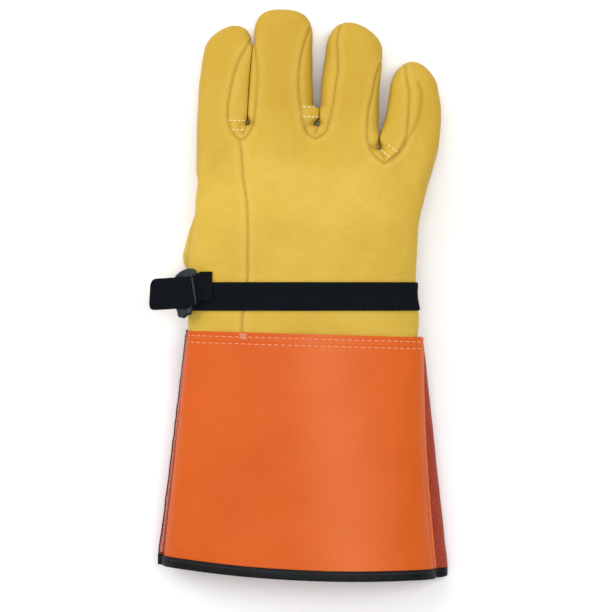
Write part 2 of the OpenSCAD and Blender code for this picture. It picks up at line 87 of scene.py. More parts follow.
LITTLE = [[60.5, 40, 12.5, 6], [62, 58, 13.6, 7.4], [65, 76, 15.8, 9.2], [68, 90, 17.4, 10.4],
          [69.2, 99, 17.8, 10.6], [70.8, 109, 17, 10.4], [71.5, 119, 16, 9.8], [71.2, 127, 14.6, 9.2]]
# Rounded tips: length, sideways shift of the top, roundness power.
INDEX_TIP = (17.8, 4.2, 1.95)
MIDDLE_TIP = (18.1, -0.8, 2.7)
RING_TIP = (17.8, -3.1, 1.8)
LITTLE_TIP = (17.8, -0.9, 1.75)

# Thumb, lying level under the palm, and the oval where it is set in.
THUMB = [[-53.4, 25, 19.4, 7.6], [-49.5, 42, 18.4, 7.7], [-45, 58, 17, 7.6], [-39.5, 72, 15.8, 7.4]]
THUMB_TIP = (14, 3, 2.2)
THUMB_Z = 7.6
THUMB_AT = (-52, 30)
THUMB_OVAL = (10.5, 16)
COLLAR_WEB = 1.6         # how far the collar spreads towards the fingers
COLLAR_HEEL = 1.12       # and towards the wrist

# Sewn outlines of the patches between fingers: up the left branch, up the right branch.
FORK_1_LEFT = [[-36.6, 95.2], [-40.6, 99.5], [-43.4, 107], [-43.7, 116], [-41.9, 128],
               [-38.4, 142], [-33.5, 152], [-29.4, 160]]
FORK_1_RIGHT = [[-36.6, 95.2], [-32.2, 97.3], [-28.5, 105], [-26.7, 117.5], [-25.7, 133],
                [-26.4, 146], [-28.8, 162]]
FORK_2_LEFT = [[10, 96.2], [5.7, 99.3], [2.6, 106.6], [1, 116.4], [-0.2, 127.4], [0.2, 139.7],
               [2, 150.7], [5.1, 160.5], [7.6, 168]]
FORK_2_RIGHT = [[10, 96.2], [15.5, 99.3], [18.6, 106.6], [21, 116.4], [22.3, 127.4],
                [24.1, 139.7], [23.6, 156], [24.7, 164], [27.2, 170]]
FORK_3_LEFT = [[52.9, 80.2], [47.4, 84.5], [43.7, 90.6], [41.9, 98], [43.1, 114], [45.5, 123.8],
               [47.4, 133.6], [50, 142], [54, 151], [57, 162]]
FORK_3_RIGHT = [[52.9, 80.2], [56.5, 83.3], [62.1, 88.2], [65.7, 95.5], [67.6, 114], [68.2, 124],
                [66.5, 135], [66, 145]]
FORKS = ((FORK_1_LEFT, FORK_1_RIGHT), (FORK_2_LEFT, FORK_2_RIGHT), (FORK_3_LEFT, FORK_3_RIGHT))
FORK_3_LENS = [[44.3, 91.3], [47.6, 88.6], [51.2, 85], [53.2, 81.2]]
BACK_SEAM = [[-36.6, 95.2], [-35.3, 87], [-34.2, 71.4], [-32.3, 59.2], [-31.4, 46.9], [-31.4, 22.4],
             [-31.7, 7.8], [-34.8, -14.4], [-35, -40]]
LITTLE_CREASE = [[57, 81.5], [61, 86.2], [67, 95.6], [72.8, 105], [75.4, 114.6], [76, 125], [73.9, 131.3]]
# A short crease carries each gap on towards its fork.
GAP_ENDS = [[[-32.4, 105], [-33.2, 102], [-34.4, 99.4]], [[12, 105], [11.2, 101.8], [10, 99.6]],
            [[49.2, 90.5], [50.6, 88.2], [53, 84.6]]]
# Middle of each gap between two fingers.
GAP_1 = [[-35, 90], [-32.8, 98], [-32.1, 106], [-31.3, 124], [-30.3, 140], [-28.9, 154], [-28.6, 400]]
GAP_2 = [[10, 90], [10.6, 98], [12, 104], [12.7, 110], [12.9, 116], [11.8, 128], [11.8, 140], [13, 400]]
GAP_3 = [[54, 76], [50.4, 84], [48.9, 92], [49.4, 102], [51, 121], [52.6, 140], [56, 400]]

# Cuff: pairs are (at the hand, at the hem).
CUFF_LEFT = (-69.0, -84.6)
CUFF_RIGHT = (76.0, 84.6)
CUFF_FIN = (-70.2, -88.0)
FIN_CORNER = 0.022       # share of the cuff's length over which the fin widens
CUFF_SPLIT_RIGHT = (77.2, 93)
CUFF_WALL_IN = (-1.0, 2.4)
CUFF_FLOOR = (11, 0)
CUFF_FOLD_R = (7, 7.4)
CUFF_CROWN = (16.6, 28)
CUFF_TOP_Y = (-22.2, -26.4)
CUFF_BOW = (0.2, -2.0)   # how far the sides bow away from straight, left and right
HEM_LOWEST = (40, -177.2)
HEM_BOW = 0.0006
HEM_CORNER = (84, 1.4)   # how far out the corners hang, and how far they drop
HEM_W = 6.6
HEM_T = 3.0
CUFF_GAP = 0.3           # between the two panels, above the split leather's edges
# The cuff's stitch rows: piece, how far down from the top edge, CAD node it replaces.
CUFF_ROWS = (("cuff_row_upper", 3.0, "cuff_seam_thread_upper"),
             ("cuff_row_lower", 7.2, "cuff_seam_thread_lower"))
VINYL_T = 1.0
SPLIT_T = 1.4

# Strap and buckle.
STRAP_W = 17.6
STRAP_Y = -1.2
STRAP_T = 1.4
STRAP_OFF = 0.75         # from the leather to the middle of the webbing's thickness
WRIST_X = 2.0            # middle of the wrist
WRIST_HALF = (72, 14)    # its half width and half depth
RIB_PITCH = 1.25
RIB_H = 0.28
TAIL_W = 19.4
BUCKLE_AT = (-65.4, 0.2, 41.4)   # middle of the looped bar
BUCKLE_TURN = -9.0       # in plan, in degrees
BUCKLE_LEAN = -36.0      # down to the left, in degrees
BUCKLE_L = 30.5
BUCKLE_SLOT = 13.6
POST_W = 4.6
BAR_R = 1.5              # the looped bar
MIDDLE_BAR_R = 1.25
FAR_BAR_R = 1.5
END_R = 1.6
LIP_R = 0.7
# The middle line of the lip over the looped bar, in the buckle's own directions.
BUCKLE_LIP = [(-2.6, 13.4, 0.8), (-0.6, 11.2, 2.4), (1.2, 8.1, 3.4), (2.8, 3.6, 3.0),
              (4.0, -2.4, 1.6), (4.2, -6, 0.6)]
# The buckle's two ends: y, x at the looped bar, x at the far side.
BUCKLE_ENDS = [[[9.8, 1.4, -14.2], [11.4, 1.4, -12.4], [12.8, 0.6, -10], [13.9, -0.6, -7.2]],
               [[-9.6, 1, -11], [-11.2, 0.2, -9.6], [-12.6, -1, -9], [-13.9, -2.2, -8.4]]]


# ---------------------------------------------------------------- small geometry helpers

def mid_z(y):
    """Height of the hand's middle surface."""
    line = np.array(MID_LINE, float)
    return np.interp(y, line[:, 0], line[:, 1])


def signed_power(value, power):
    return np.sign(value) * np.abs(value) ** power


def bell(value, width):
    """1 at zero, falling off to 0 over about twice the width on both sides."""
    return np.exp(-(value / width) ** 2)


def eased(share):
    """A share from 0 to 1 that starts and ends gently."""
    return share * share * (3 - 2 * share)


def unit(vectors):
    """The same directions with a length of 1."""
    return vectors / np.maximum(np.linalg.norm(vectors, axis=-1, keepdims=True), 1e-9)


def run_along(line):
    """How far along a line each of its points lies."""
    return np.concatenate([[0], np.cumsum(np.linalg.norm(np.diff(line, axis=0), axis=1))])


def spline(points, count):
    """Points spread evenly along a smooth line through the given points."""
    p = np.array(points, float)
    p = np.vstack([2 * p[0] - p[1], p, 2 * p[-1] - p[-2]])
    fine = []
    for i in range(1, len(p) - 2):
        for t in np.linspace(0, 1, 24, endpoint=False):
            fine.append(0.5 * (2 * p[i] + (p[i + 1] - p[i - 1]) * t
                               + (2 * p[i - 1] - 5 * p[i] + 4 * p[i + 1] - p[i + 2]) * t * t
                               + (3 * p[i] - p[i - 1] - 3 * p[i + 1] + p[i + 2]) * t ** 3))
    fine.append(p[-2])
    return even(np.array(fine), count)


def even(line, count):
    """The same line with count points spread evenly along it."""
    run = run_along(line)
    want = np.linspace(0, run[-1], count)
    return np.stack([np.interp(want, run, line[:, k]) for k in range(line.shape[1])], axis=1)


def length_of(line):
    return float(np.linalg.norm(np.diff(line, axis=0), axis=1).sum())


def distance_to(points, line):
    """Distance in plan from each point to a line."""
    best = np.full(len(points), 1e9)
    for a, b in zip(line[:-1], line[1:]):
        d = b - a
        t = np.clip(((points - a) @ d) / max(d @ d, 1e-9), 0, 1)
        best = np.minimum(best, np.linalg.norm(points - (a + t[:, None] * d), axis=1))
    return best


def inside(points, outline):
    """Whether each point lies inside a closed outline, in plan."""
    result = np.zeros(len(points), bool)
    x, y = points[:, 0], points[:, 1]
    for (x1, y1), (x2, y2) in zip(outline, np.roll(outline, -1, axis=0)):
        crosses = (y1 > y) != (y2 > y)
        at = (x2 - x1) * (y - y1) / (y2 - y1 if y2 != y1 else 1e-9) + x1
        result ^= crosses & (x < at)
    return result


def rough(points, size, seed):
    """Smooth noise from -1 to 1 at each point, in lumps of about the given size."""
    shift = Vector((seed * 7.3, seed * 3.1, seed * 1.7))
    values = [noise.noise(Vector(p) / size + shift) for p in points.reshape(-1, 3)]
    return np.array(values).reshape(points.shape[:-1])


def grid_faces(rows, cols, closed=False):
    """Faces of a grid of rows by cols points. A closed grid joins its last column to its first."""
    last = cols if closed else cols - 1
    i, j = np.meshgrid(np.arange(rows - 1), np.arange(last), indexing="ij")
    a, b = i * cols + j, i * cols + (j + 1) % cols
    return np.stack([a, b, b + cols, a + cols], axis=-1).reshape(-1, 4)


def tube_faces(rows, cols, flip=False):
    """Faces of a closed tube with both its ends."""
    ends = [list(range(cols)), [(rows - 1) * cols + k for k in range(cols)]]
    ends[1 if flip else 0].reverse()
    return grid_faces(rows, cols, True).tolist() + ends


def face_middles(verts, faces):
    return np.array([verts[list(f)].mean(axis=0) for f in faces])


def search_tree(verts, faces):
    """For finding where a line meets a surface, or its nearest place."""
    return BVHTree.FromPolygons([Vector(v) for v in verts], faces)


def grid_normals(points):
    """Unit normals of a grid of points, rows by cols by 3."""
    n = np.cross(np.gradient(points, axis=0), np.gradient(points, axis=1))
    return unit(n)


# ---------------------------------------------------------------- pieces

def placed(name, data):
    """A new object in the scene."""
    obj = bpy.data.objects.new(name, data)
    bpy.context.scene.collection.objects.link(obj)
    return obj


def make(name, verts, faces, material, slot_name, normals=None):
    """A mesh piece from points in mm. Each point keeps its place at rest, for the materials."""
    verts = np.asarray(verts, float)
    mesh = bpy.data.meshes.new(name)
    mesh.from_pydata((verts * MM).tolist(), [], [list(map(int, f)) for f in faces])
    mesh.validate()
    mesh.update()
    rest = mesh.attributes.new("rest", "FLOAT_VECTOR", "POINT")
    rest.data.foreach_set("vector", (verts * MM).astype(np.float32).ravel())
    obj = placed(name, mesh)
    mesh.materials.append(material)
    mesh.polygons.foreach_set("use_smooth", [True] * len(mesh.polygons))
    if normals is not None:
        mesh.normals_split_custom_set_from_vertices(np.asarray(normals, float).tolist())
    return obj


def attribute(obj, name, values):
    """A number at each point, for the materials."""
    layer = obj.data.attributes.new(name, "FLOAT", "POINT")
    layer.data.foreach_set("value", np.asarray(values, np.float32))


def slab(name, outer, inner, material, slot_name, closed=False):
    """A closed sheet between two grids of points, with rounded rims."""
    rows, cols = outer.shape[:2]
    n = rows * cols
    top = grid_faces(rows, cols, closed)
    verts = np.vstack([outer.reshape(-1, 3), inner.reshape(-1, 3)])
    index = np.arange(n).reshape(rows, cols)
    if closed:
        rims = [np.append(index[0], index[0][0]), np.append(index[-1], index[-1][0])[::-1]]
    else:
        rims = [np.concatenate([index[0], index[1:, -1], index[-1, -2::-1], index[-2::-1, 0]])]
    side = []
    for rim in rims:
        side += [[b, a, a + n, b + n] for a, b in zip(rim[:-1], rim[1:])]
    faces = np.vstack([top, top[:, ::-1] + n, np.array(side)])
    obj = make(name, verts, faces, material, slot_name)
    tidy_normals(obj)
    return obj


def tidy_normals(obj):
    """Turns every face outwards and keeps rims crisp."""
    work = bmesh.new()
    work.from_mesh(obj.data)
    bmesh.ops.recalc_face_normals(work, faces=work.faces)
    for edge in work.edges:
        if len(edge.link_faces) == 2 and edge.calc_face_angle(0) > math.radians(50):
            edge.smooth = False
    work.to_mesh(obj.data)
    work.free()


def tube(path, radius, sides, flat=1.0, up=(0, 0, 1)):
    """Points and faces of a closed tube along a path. The radius may change along it."""
    path = np.asarray(path, float)
    r = np.broadcast_to(radius, len(path))
    tangent = unit(np.gradient(path, axis=0))
    side = unit(np.cross(tangent, np.broadcast_to(np.asarray(up, float), path.shape)))
    over = np.cross(side, tangent)
    angle = np.linspace(0, 2 * np.pi, sides, endpoint=False)
    rings = (path[:, None] + side[:, None] * (np.cos(angle)[None, :, None] * r[:, None, None])
             + over[:, None] * (np.sin(angle)[None, :, None] * (r * flat)[:, None, None]))
    return rings.reshape(-1, 3), tube_faces(len(path), sides)


def gather(parts):
    """One set of points and faces from several."""
    verts, faces, base = [], [], 0
    for v, f in parts:
        verts.append(v)
        faces += [[int(k) + base for k in face] for face in f]
        base += len(v)
    return np.vstack(verts), faces


def stitch_row(name, line, up, material, slot_name, pitch, dash, radius, lift):
    """Separate stitches along a line on a surface. Each sinks at its ends."""
    run = length_of(line)
    count = max(int(run / pitch), 1)
    line = even(np.hstack([line, up]), count * 12 + 1)
    parts = []
    for k in range(count):
        first = k * 12
        last = first + max(int(round(12 * dash / pitch)), 3)
        points, normal = line[first:last + 1, :3], line[first:last + 1, 3:]
        t = np.linspace(-1, 1, len(points))
        arch = np.sqrt(np.clip(1 - t ** 4, 0, 1))
        points = points + normal * (lift - radius * 0.9 * (1 - arch))[:, None]
        parts.append(tube(points, radius * (0.55 + 0.45 * arch), 8, 0.85, normal))
    verts, faces = gather(parts)
    return make(name, verts, faces, material, slot_name)


# ---------------------------------------------------------------- materials

def new_material(name):
    material = bpy.data.materials.new(name)
    material.use_nodes = True
    tree = material.node_tree
    tree.nodes.clear()
    out = tree.nodes.new("ShaderNodeOutputMaterial")
    shader = tree.nodes.new("ShaderNodeBsdfPrincipled")
    tree.links.new(shader.outputs["BSDF"], out.inputs["Surface"])
    rest = tree.nodes.new("ShaderNodeAttribute")
    rest.attribute_name = "rest"
    return material, tree, shader, rest.outputs["Vector"]


def srgb(text):
    """A colour from six hex digits, as the shader wants it."""
    parts = [int(text[i:i + 2], 16) / 255 for i in (0, 2, 4)]
    return [p / 12.92 if p <= 0.04045 else ((p + 0.055) / 1.055) ** 2.4 for p in parts] + [1]


def noise_node(tree, where, size_mm, detail=3.0, roughness=0.5):
    node = tree.nodes.new("ShaderNodeTexNoise")
    node.inputs["Scale"].default_value = 1 / (size_mm * MM)
    node.inputs["Detail"].default_value = detail
    node.inputs["Roughness"].default_value = roughness
    tree.links.new(where, node.inputs["Vector"])
    return node.outputs["Fac"]


def cells_node(tree, where, size_mm):
    node = tree.nodes.new("ShaderNodeTexVoronoi")
    node.inputs["Scale"].default_value = 1 / (size_mm * MM)
    tree.links.new(where, node.inputs["Vector"])
    return node.outputs["Distance"]


def wave_node(tree, where, pitch_mm, direction, distortion=0.0):
    """Bands across the given direction. The texture repeats every pi / 10 units at scale 1."""
    node = tree.nodes.new("ShaderNodeTexWave")
    node.wave_type = "BANDS"
    node.bands_direction = direction
    node.inputs["Scale"].default_value = math.pi / 10 / (pitch_mm * MM)
    node.inputs["Distortion"].default_value = distortion
    tree.links.new(where, node.inputs["Vector"])
    return node.outputs["Fac"]


def feed(tree, value, socket):
    """Links another node's output to a socket, or sets a plain value."""
    if hasattr(value, "is_output"):
        tree.links.new(value, socket)
    else:
        socket.default_value = value


def ramp(tree, fac, stops):
    node = tree.nodes.new("ShaderNodeValToRGB")
    while len(node.color_ramp.elements) < len(stops):
        node.color_ramp.elements.new(0.5)
    for element, (place, colour) in zip(node.color_ramp.elements, stops):
        element.position = place
        element.color = colour
    tree.links.new(fac, node.inputs["Fac"])
    return node.outputs["Color"]


def mix_colour(tree, fac, first, second, blend="MIX"):
    node = tree.nodes.new("ShaderNodeMix")
    node.data_type = "RGBA"
    node.blend_type = blend
    for socket, value in (("Factor", fac), ("A", first), ("B", second)):
        feed(tree, value, next(s for s in node.inputs if s.name == socket and s.enabled))
    return next(s for s in node.outputs if s.enabled)


def maths(tree, operation, first, second=0.0):
    node = tree.nodes.new("ShaderNodeMath")
    node.operation = operation
    for socket, value in zip(node.inputs, (first, second)):
        feed(tree, value, socket)
    return node.outputs["Value"]


def float_attribute(tree, name):
    node = tree.nodes.new("ShaderNodeAttribute")
    node.attribute_name = name
    return node.outputs["Fac"]


def bump(tree, shader, layers):
    """Chains bump layers of (height, depth in mm)."""
    normal = None
    for height, depth_mm in layers:
        node = tree.nodes.new("ShaderNodeBump")
        node.inputs["Distance"].default_value = depth_mm * MM
        tree.links.new(height, node.inputs["Height"])
        if normal is not None:
            tree.links.new(normal, node.inputs["Normal"])
        normal = node.outputs["Normal"]
    tree.links.new(normal, shader.inputs["Normal"])


def surface(tree, shader, colour, roughness, bumps, specular=None):
    """Feeds the shader with what the surface looks like."""
    feed(tree, colour, shader.inputs["Base Color"])
    feed(tree, roughness, shader.inputs["Roughness"])
    if specular is not None:
        feed(tree, specular, shader.inputs["Specular IOR Level"])
    bump(tree, shader, bumps)


def leather_material():
    """Smooth yellow grain leather, darker in the seams and creases as painted shade, with a painted
    highlight on the puffed leather beside them.
    """
    material, tree, shader, at = new_material("hand_leather")
    broad = noise_node(tree, at, 45, 2)
    fine = noise_node(tree, at, 6, 4, 0.6)
    grain = cells_node(tree, at, 0.95)
    base = ramp(tree, broad, [(0.3, srgb("C5A33A")), (0.55, srgb("CCAB41")), (0.8, srgb("D1B14B"))])
    tipward = mix_colour(tree, float_attribute(tree, "tipward"), base, srgb("EDE6C9"), "MULTIPLY")
    mottle = mix_colour(tree, maths(tree, "MULTIPLY", fine, 0.35), tipward, srgb("B08B28"))
    # painted shade, darker in the seams' grooves and in the creases
    seam = float_attribute(tree, "seam")
    dark = mix_colour(tree, maths(tree, "MULTIPLY", seam, 0.6), mottle, srgb("8E6A1C"))
    # painted highlight on the raised, puffed leather beside the seams
    edge = float_attribute(tree, "edge")
    highlighted_colour = mix_colour(tree, maths(tree, "MULTIPLY", edge, 0.13), dark, srgb("DDBC62"))
    rough_value = maths(tree, "ADD", maths(tree, "MULTIPLY", fine, 0.2), 0.46)
    pores = noise_node(tree, at, 0.6, 2)
    creases = noise_node(tree, at, 3.2, 5, 0.62)
    surface(tree, shader, highlighted_colour, rough_value, [(creases, 0.35), (grain, 0.16), (pores, 0.05)], 0.2)
    return material


def vinyl_material():
    """Orange coated fabric: the weave shows through a soft gloss coat."""
    material, tree, shader, at = new_material("coated_fabric")
    warp = wave_node(tree, at, 0.85, "X", 0.25)
    weft = wave_node(tree, at, 0.85, "Y", 0.25)
    weave = maths(tree, "MAXIMUM", warp, weft)
    broad = noise_node(tree, at, 60, 2)
    dust = noise_node(tree, at, 2.5, 5, 0.65)
    base = ramp(tree, broad, [(0.3, srgb("C6520E")), (0.6, srgb("CC5810")), (0.85, srgb("D05C13"))])
    shade = mix_colour(tree, maths(tree, "MULTIPLY", maths(tree, "SUBTRACT", 1.0, weave), 0.2),
                       base, srgb("AE4410"))
    # painted highlight: the weave shows paler in a band right of the crown, where light is reflected, and
    # on the rolled right edge
    sheen_mask = float_attribute(tree, "painted_sheen")
    pale = maths(tree, "MULTIPLY", maths(tree, "MULTIPLY", sheen_mask, weave), 0.22)
    painted_sheen = mix_colour(tree, pale, shade, srgb("EE9468"))
    highlighted_colour = mix_colour(tree, maths(tree, "MULTIPLY", dust, 0.08), painted_sheen, srgb("E58A55"))
    dents = noise_node(tree, at, 9, 3)
    surface(tree, shader, highlighted_colour, 0.36, [(dents, 0.35), (weave, 0.1)], 0.15)
    return material


def suede_material():
    """Brick-red split leather with a nap."""
    material, tree, shader, at = new_material("split_leather")
    nap = noise_node(tree, at, 1.6, 6, 0.7)
    fibre = noise_node(tree, at, 0.45, 3, 0.6)
    patch = noise_node(tree, at, 14, 3)
    base = ramp(tree, nap, [(0.25, srgb("7C2C20")), (0.5, srgb("A0432F")), (0.8, srgb("BC5F48"))])
    tone = mix_colour(tree, maths(tree, "MULTIPLY", patch, 0.5), base, srgb("8A2519"))
    shaded = mix_colour(tree, float_attribute(tree, "dark_edge"), tone, srgb("2B1D19"))
    raw = mix_colour(tree, float_attribute(tree, "pale_edge"), shaded, srgb("C99C90"))
    shader.inputs["Sheen Weight"].default_value = 0.12
    surface(tree, shader, raw, 0.95, [(nap, 0.5), (fibre, 0.2)], 0.1)
    return material


def lining_material():
    """Raw pale flesh side of the leather, seen inside the hand."""
    material, tree, shader, at = new_material("raw_leather")
    nap = noise_node(tree, at, 2.0, 6, 0.7)
    base = ramp(tree, nap, [(0.3, srgb("B49A63")), (0.7, srgb("CDB680"))])
    surface(tree, shader, base, 0.95, [(nap, 0.4)])
    return material


def binding_material():
    """Black coated hem binding."""
    material, tree, shader, at = new_material("binding")
    grain = cells_node(tree, at, 0.8)
    wear = noise_node(tree, at, 3, 4, 0.6)
    base = ramp(tree, wear, [(0.35, srgb("050608")), (0.75, srgb("101217"))])
    surface(tree, shader, base, 0.5, [(wear, 0.3), (grain, 0.12)], 0.16)
    return material


def webbing_material():
    """Black woven webbing."""
    material, tree, shader, at = new_material("webbing")
    cross = wave_node(tree, at, 0.9, "Y", 0.4)
    fuzz = noise_node(tree, at, 0.5, 3)
    base = ramp(tree, cross, [(0.2, srgb("010203")), (0.9, srgb("06080B"))])
    # painted highlight on the crests of the ribs
    crest_highlight = maths(tree, "MULTIPLY", float_attribute(tree, "rib"), 0.5)
    tone = mix_colour(tree, crest_highlight, base, srgb("1B222B"))
    surface(tree, shader, tone, 0.85, [(cross, 0.12), (fuzz, 0.1)], 0.08)
    return material


def plastic_material():
    """Black moulded plastic with a satin skin."""
    material, tree, shader, at = new_material("buckle_plastic")
    wear = noise_node(tree, at, 2.5, 3)
    base = ramp(tree, wear, [(0.3, srgb("0D1415")), (0.8, srgb("1A2629"))])
    spark = noise_node(tree, at, 0.35, 2)
    surface(tree, shader, base, 0.34, [(spark, 0.03)], 0.35)
    return material


def thread_material(name, light, dark):
    """Twisted thread."""
    material, tree, shader, at = new_material(name)
    twist = wave_node(tree, at, 0.5, "DIAGONAL", 0.3)
    base = ramp(tree, twist, [(0.1, srgb(dark)), (0.9, srgb(light))])
    surface(tree, shader, base, 0.75, [(twist, 0.08)])
    return material


LEATHER = leather_material()
VINYL = vinyl_material()
SUEDE = suede_material()
RAW = lining_material()
BINDING = binding_material()
WEBBING = webbing_material()
PLASTIC = plastic_material()
PINK_THREAD = thread_material("pink_thread", "F2A37E", "D87A50")
BEIGE_THREAD = thread_material("beige_thread", "F3E4B4", "D2B872")
WHITE_THREAD = thread_material("white_thread", "D9B7AB", "8E5F55")
BLACK_THREAD = thread_material("black_thread", "2A2D33", "0A0B0D")


# ---------------------------------------------------------------- stage, camera and lights

def set_stage():
    """White floor, three soft boxes, and a camera straight above."""
    bpy.ops.mesh.primitive_plane_add(size=8, location=(0, 0, 0))
    floor = bpy.context.object
    floor.name = "floor"
    paper = bpy.data.materials.new("paper")
    paper.use_nodes = True
    shader = paper.node_tree.nodes["Principled BSDF"]
    shader.inputs["Base Color"].default_value = (0.98, 0.98, 0.98, 1)
    shader.inputs["Roughness"].default_value = 0.9
    shader.inputs["Specular IOR Level"].default_value = 0.1
    floor.data.materials.append(paper)

    world = bpy.data.worlds.new("studio")
    world.use_nodes = True
    world.node_tree.nodes["Background"].inputs["Color"].default_value = (1, 1, 1, 1)
    world.node_tree.nodes["Background"].inputs["Strength"].default_value = 0.56
    bpy.context.scene.world = world
    bpy.context.scene.view_settings.view_transform = "Standard"

    def soft_box(name, place, target, size, power):
        data = bpy.data.lights.new(name, "AREA")
        data.shape = "RECTANGLE"
        data.size, data.size_y = size
        data.energy = power
        light = placed(name, data)
        light.location = place
        light.rotation_euler = (Vector(target) - Vector(place)).to_track_quat("-Z", "Y").to_euler()

    soft_box("key", (0.25, 0.1, 1.5), (0.02, -0.02, 0), (0.5, 1.4), 12)
    soft_box("left_fill", (-1.1, 0.5, 0.9), (0, 0, 0), (0.8, 0.8), 7)
    soft_box("top_fill", (-0.2, 1.2, 1.0), (0, 0.05, 0), (1.2, 0.5), 6)

    camera = placed("camera", bpy.data.cameras.new("camera"))
    picture_side = 379.4 * MM
    middle = (4.3 * MM, -7.1 * MM)
    height = 1.6
    subject = 24 * MM
    camera.location = (middle[0], middle[1], height + subject)
    camera.rotation_euler = (0, 0, 0)
    camera.data.angle = 2 * math.atan(picture_side / 2 / height)
    camera.data.clip_end = 20
    bpy.context.scene.camera = camera


set_stage()


# ---------------------------------------------------------------- hand

def stations_along(chain, tip, count):
    """Smooth stations of a chain with its rounded tip."""
    chain = spline(chain, count)
    if tip is None:
        return chain
    length, shift, power = tip
    last = chain[-1]
    f = 1 - (1 - np.linspace(0.06, 1, 22)) ** 1.7
    size = np.clip(1 - f ** power, 0.0004, 1) ** (1 / power)
    end = np.stack([last[0] + shift * f * f, last[1] + f * length, last[2] * size, last[3] * size], axis=1)
    return np.vstack([chain, end])


def chain_mesh(chain, tip=None, level=None, count=60, around=72, root=False, power=SECTION_POWER):
    """A closed tube of rounded sections."""
    stations = stations_along(chain, tip, count)
    if root:
        f = -np.cos(np.linspace(0.05, np.pi / 2, 16, endpoint=False))
        size = np.sqrt(np.clip(1 - f ** 2, 0.0004, 1))
        first = stations[0]
        start = np.stack([np.full(len(f), first[0]), first[1] + f * first[2], first[2] * size,
                          first[3] * np.sqrt(size)], axis=1)
        stations = np.vstack([start, stations])
    t = np.linspace(0, 2 * np.pi, around, endpoint=False)
    cx = signed_power(np.cos(t), 2 / power)
    cz = signed_power(np.sin(t), 2 / power)
    z = mid_z(stations[:, 1]) if level is None else np.full(len(stations), level)
    points = np.stack([stations[:, 0:1] + stations[:, 2:3] * cx,
                       np.repeat(stations[:, 1:2], around, axis=1),
                       z[:, None] + stations[:, 3:4] * cz], axis=-1)
    return points.reshape(-1, 3), tube_faces(len(stations), around, flip=True)


def remeshed(parts, voxel, rounds):
    """The outside of several overlapping solids as one even mesh, smoothed."""
    verts, faces = gather(parts)
    mesh = bpy.data.meshes.new("union")
    mesh.from_pydata(verts.tolist(), [], faces)
    obj = placed("union", mesh)
    work = bmesh.new()
    work.from_mesh(mesh)
    bmesh.ops.recalc_face_normals(work, faces=work.faces)
    work.to_mesh(mesh)
    work.free()
    step = obj.modifiers.new("remesh", "REMESH")
    step.mode = "VOXEL"
    step.voxel_size = voxel
    relax = obj.modifiers.new("relax", "SMOOTH")
    relax.factor = 0.5
    relax.iterations = rounds
    bpy.context.view_layer.update()
    result = obj.evaluated_get(bpy.context.evaluated_depsgraph_get()).to_mesh()
    points = np.empty(len(result.vertices) * 3)
    result.vertices.foreach_get("co", points)
    polygons = [tuple(p.vertices) for p in result.polygons]
    bpy.data.objects.remove(obj)
    return points.reshape(-1, 3), polygons


def vertex_normals(verts, faces):
    quads = np.array([f if len(f) == 4 else (*f, f[-1]) for f in faces])
    n = np.cross(verts[quads[:, 2]] - verts[quads[:, 0]], verts[quads[:, 3]] - verts[quads[:, 1]])
    total = np.zeros_like(verts)
    for k in range(4):
        np.add.at(total, quads[:, k], n)
    return unit(total)


def held_apart(solid, gap, low, side):
    """Keeps a finger's wall clear of the gap beside it, so that neighbours are not meshed as one."""
    points, faces = solid
    gap = np.array(gap, float)
    limit = np.interp(points[:, 1], gap[:, 1], gap[:, 0]) + side * GAP_HALF
    over = (side * (points[:, 0] - limit) < 0) & (points[:, 1] > low)
    points[:, 0] = np.where(over, limit, points[:, 0])
    return points, faces


def close_gap(verts, gap, low, high, fade, left, right):
    """Brings the walls of two neighbouring fingers together where they touch, without joining them.

    Gives the new places, and how tightly each place is held at the gap."""
    gap, left, right = np.array(gap, float), np.array(left, float), np.array(right, float)
    y = verts[:, 1]
    middle = np.interp(y, gap[:, 1], gap[:, 0])
    off = verts[:, 0] - middle
    on_left = off < 0
    across, wide, deep = [np.where(on_left, np.interp(y, left[:, 1], left[:, k]),
                                   np.interp(y, right[:, 1], right[:, k])) for k in (0, 2, 3)]
    along = np.clip((high - y) / fade, 0, 1) * np.clip((y - low) / 8, 0, 1)
    along = eased(along)

    # the touching sides are squarer than the free ones
    u, w = (verts[:, 0] - across) / wide, (verts[:, 2] - mid_z(y)) / deep
    facing = np.where(on_left, u, -u)
    near = np.clip((facing - 0.3) / 0.4, 0, 1) * (facing < 1.3)

    def power(q):
        return (np.abs(u) ** q + np.abs(w) ** q) ** (1 / q)

    squarer = np.clip(power(FINGER_POWER) / np.maximum(power(TOUCH_POWER), 1e-6), 1, 1.2)
    grow = 1 + (squarer - 1) * near * along
    result = verts.copy()
    result[:, 0] = across + (verts[:, 0] - across) * grow
    result[:, 2] = mid_z(y) + (verts[:, 2] - mid_z(y)) * grow

    wall = np.maximum(np.where(on_left, middle - across - wide, across - wide - middle), GAP_HALF)
    reach = np.maximum((result[:, 0] - middle) * np.where(on_left, -1, 1), 0.02)
    share = np.clip(1 - (reach - wall) / CLOSE_SPREAD, 0, 1)
    move = (wall - TOUCH_GAP).clip(0) * share * share * (3 - 2 * share) * along
    nearest = np.maximum(reach - move, np.minimum(reach, TOUCH_GAP))
    result[:, 0] = middle + np.where(on_left, -nearest, nearest)
    return result, np.clip(1.6 - nearest / 1.5, 0, 1) * along


def seam_lines():
    """Every sewn line of the hand, in plan."""
    return [spline(side, 80) for fork in FORKS for side in fork], spline(BACK_SEAM, 120)


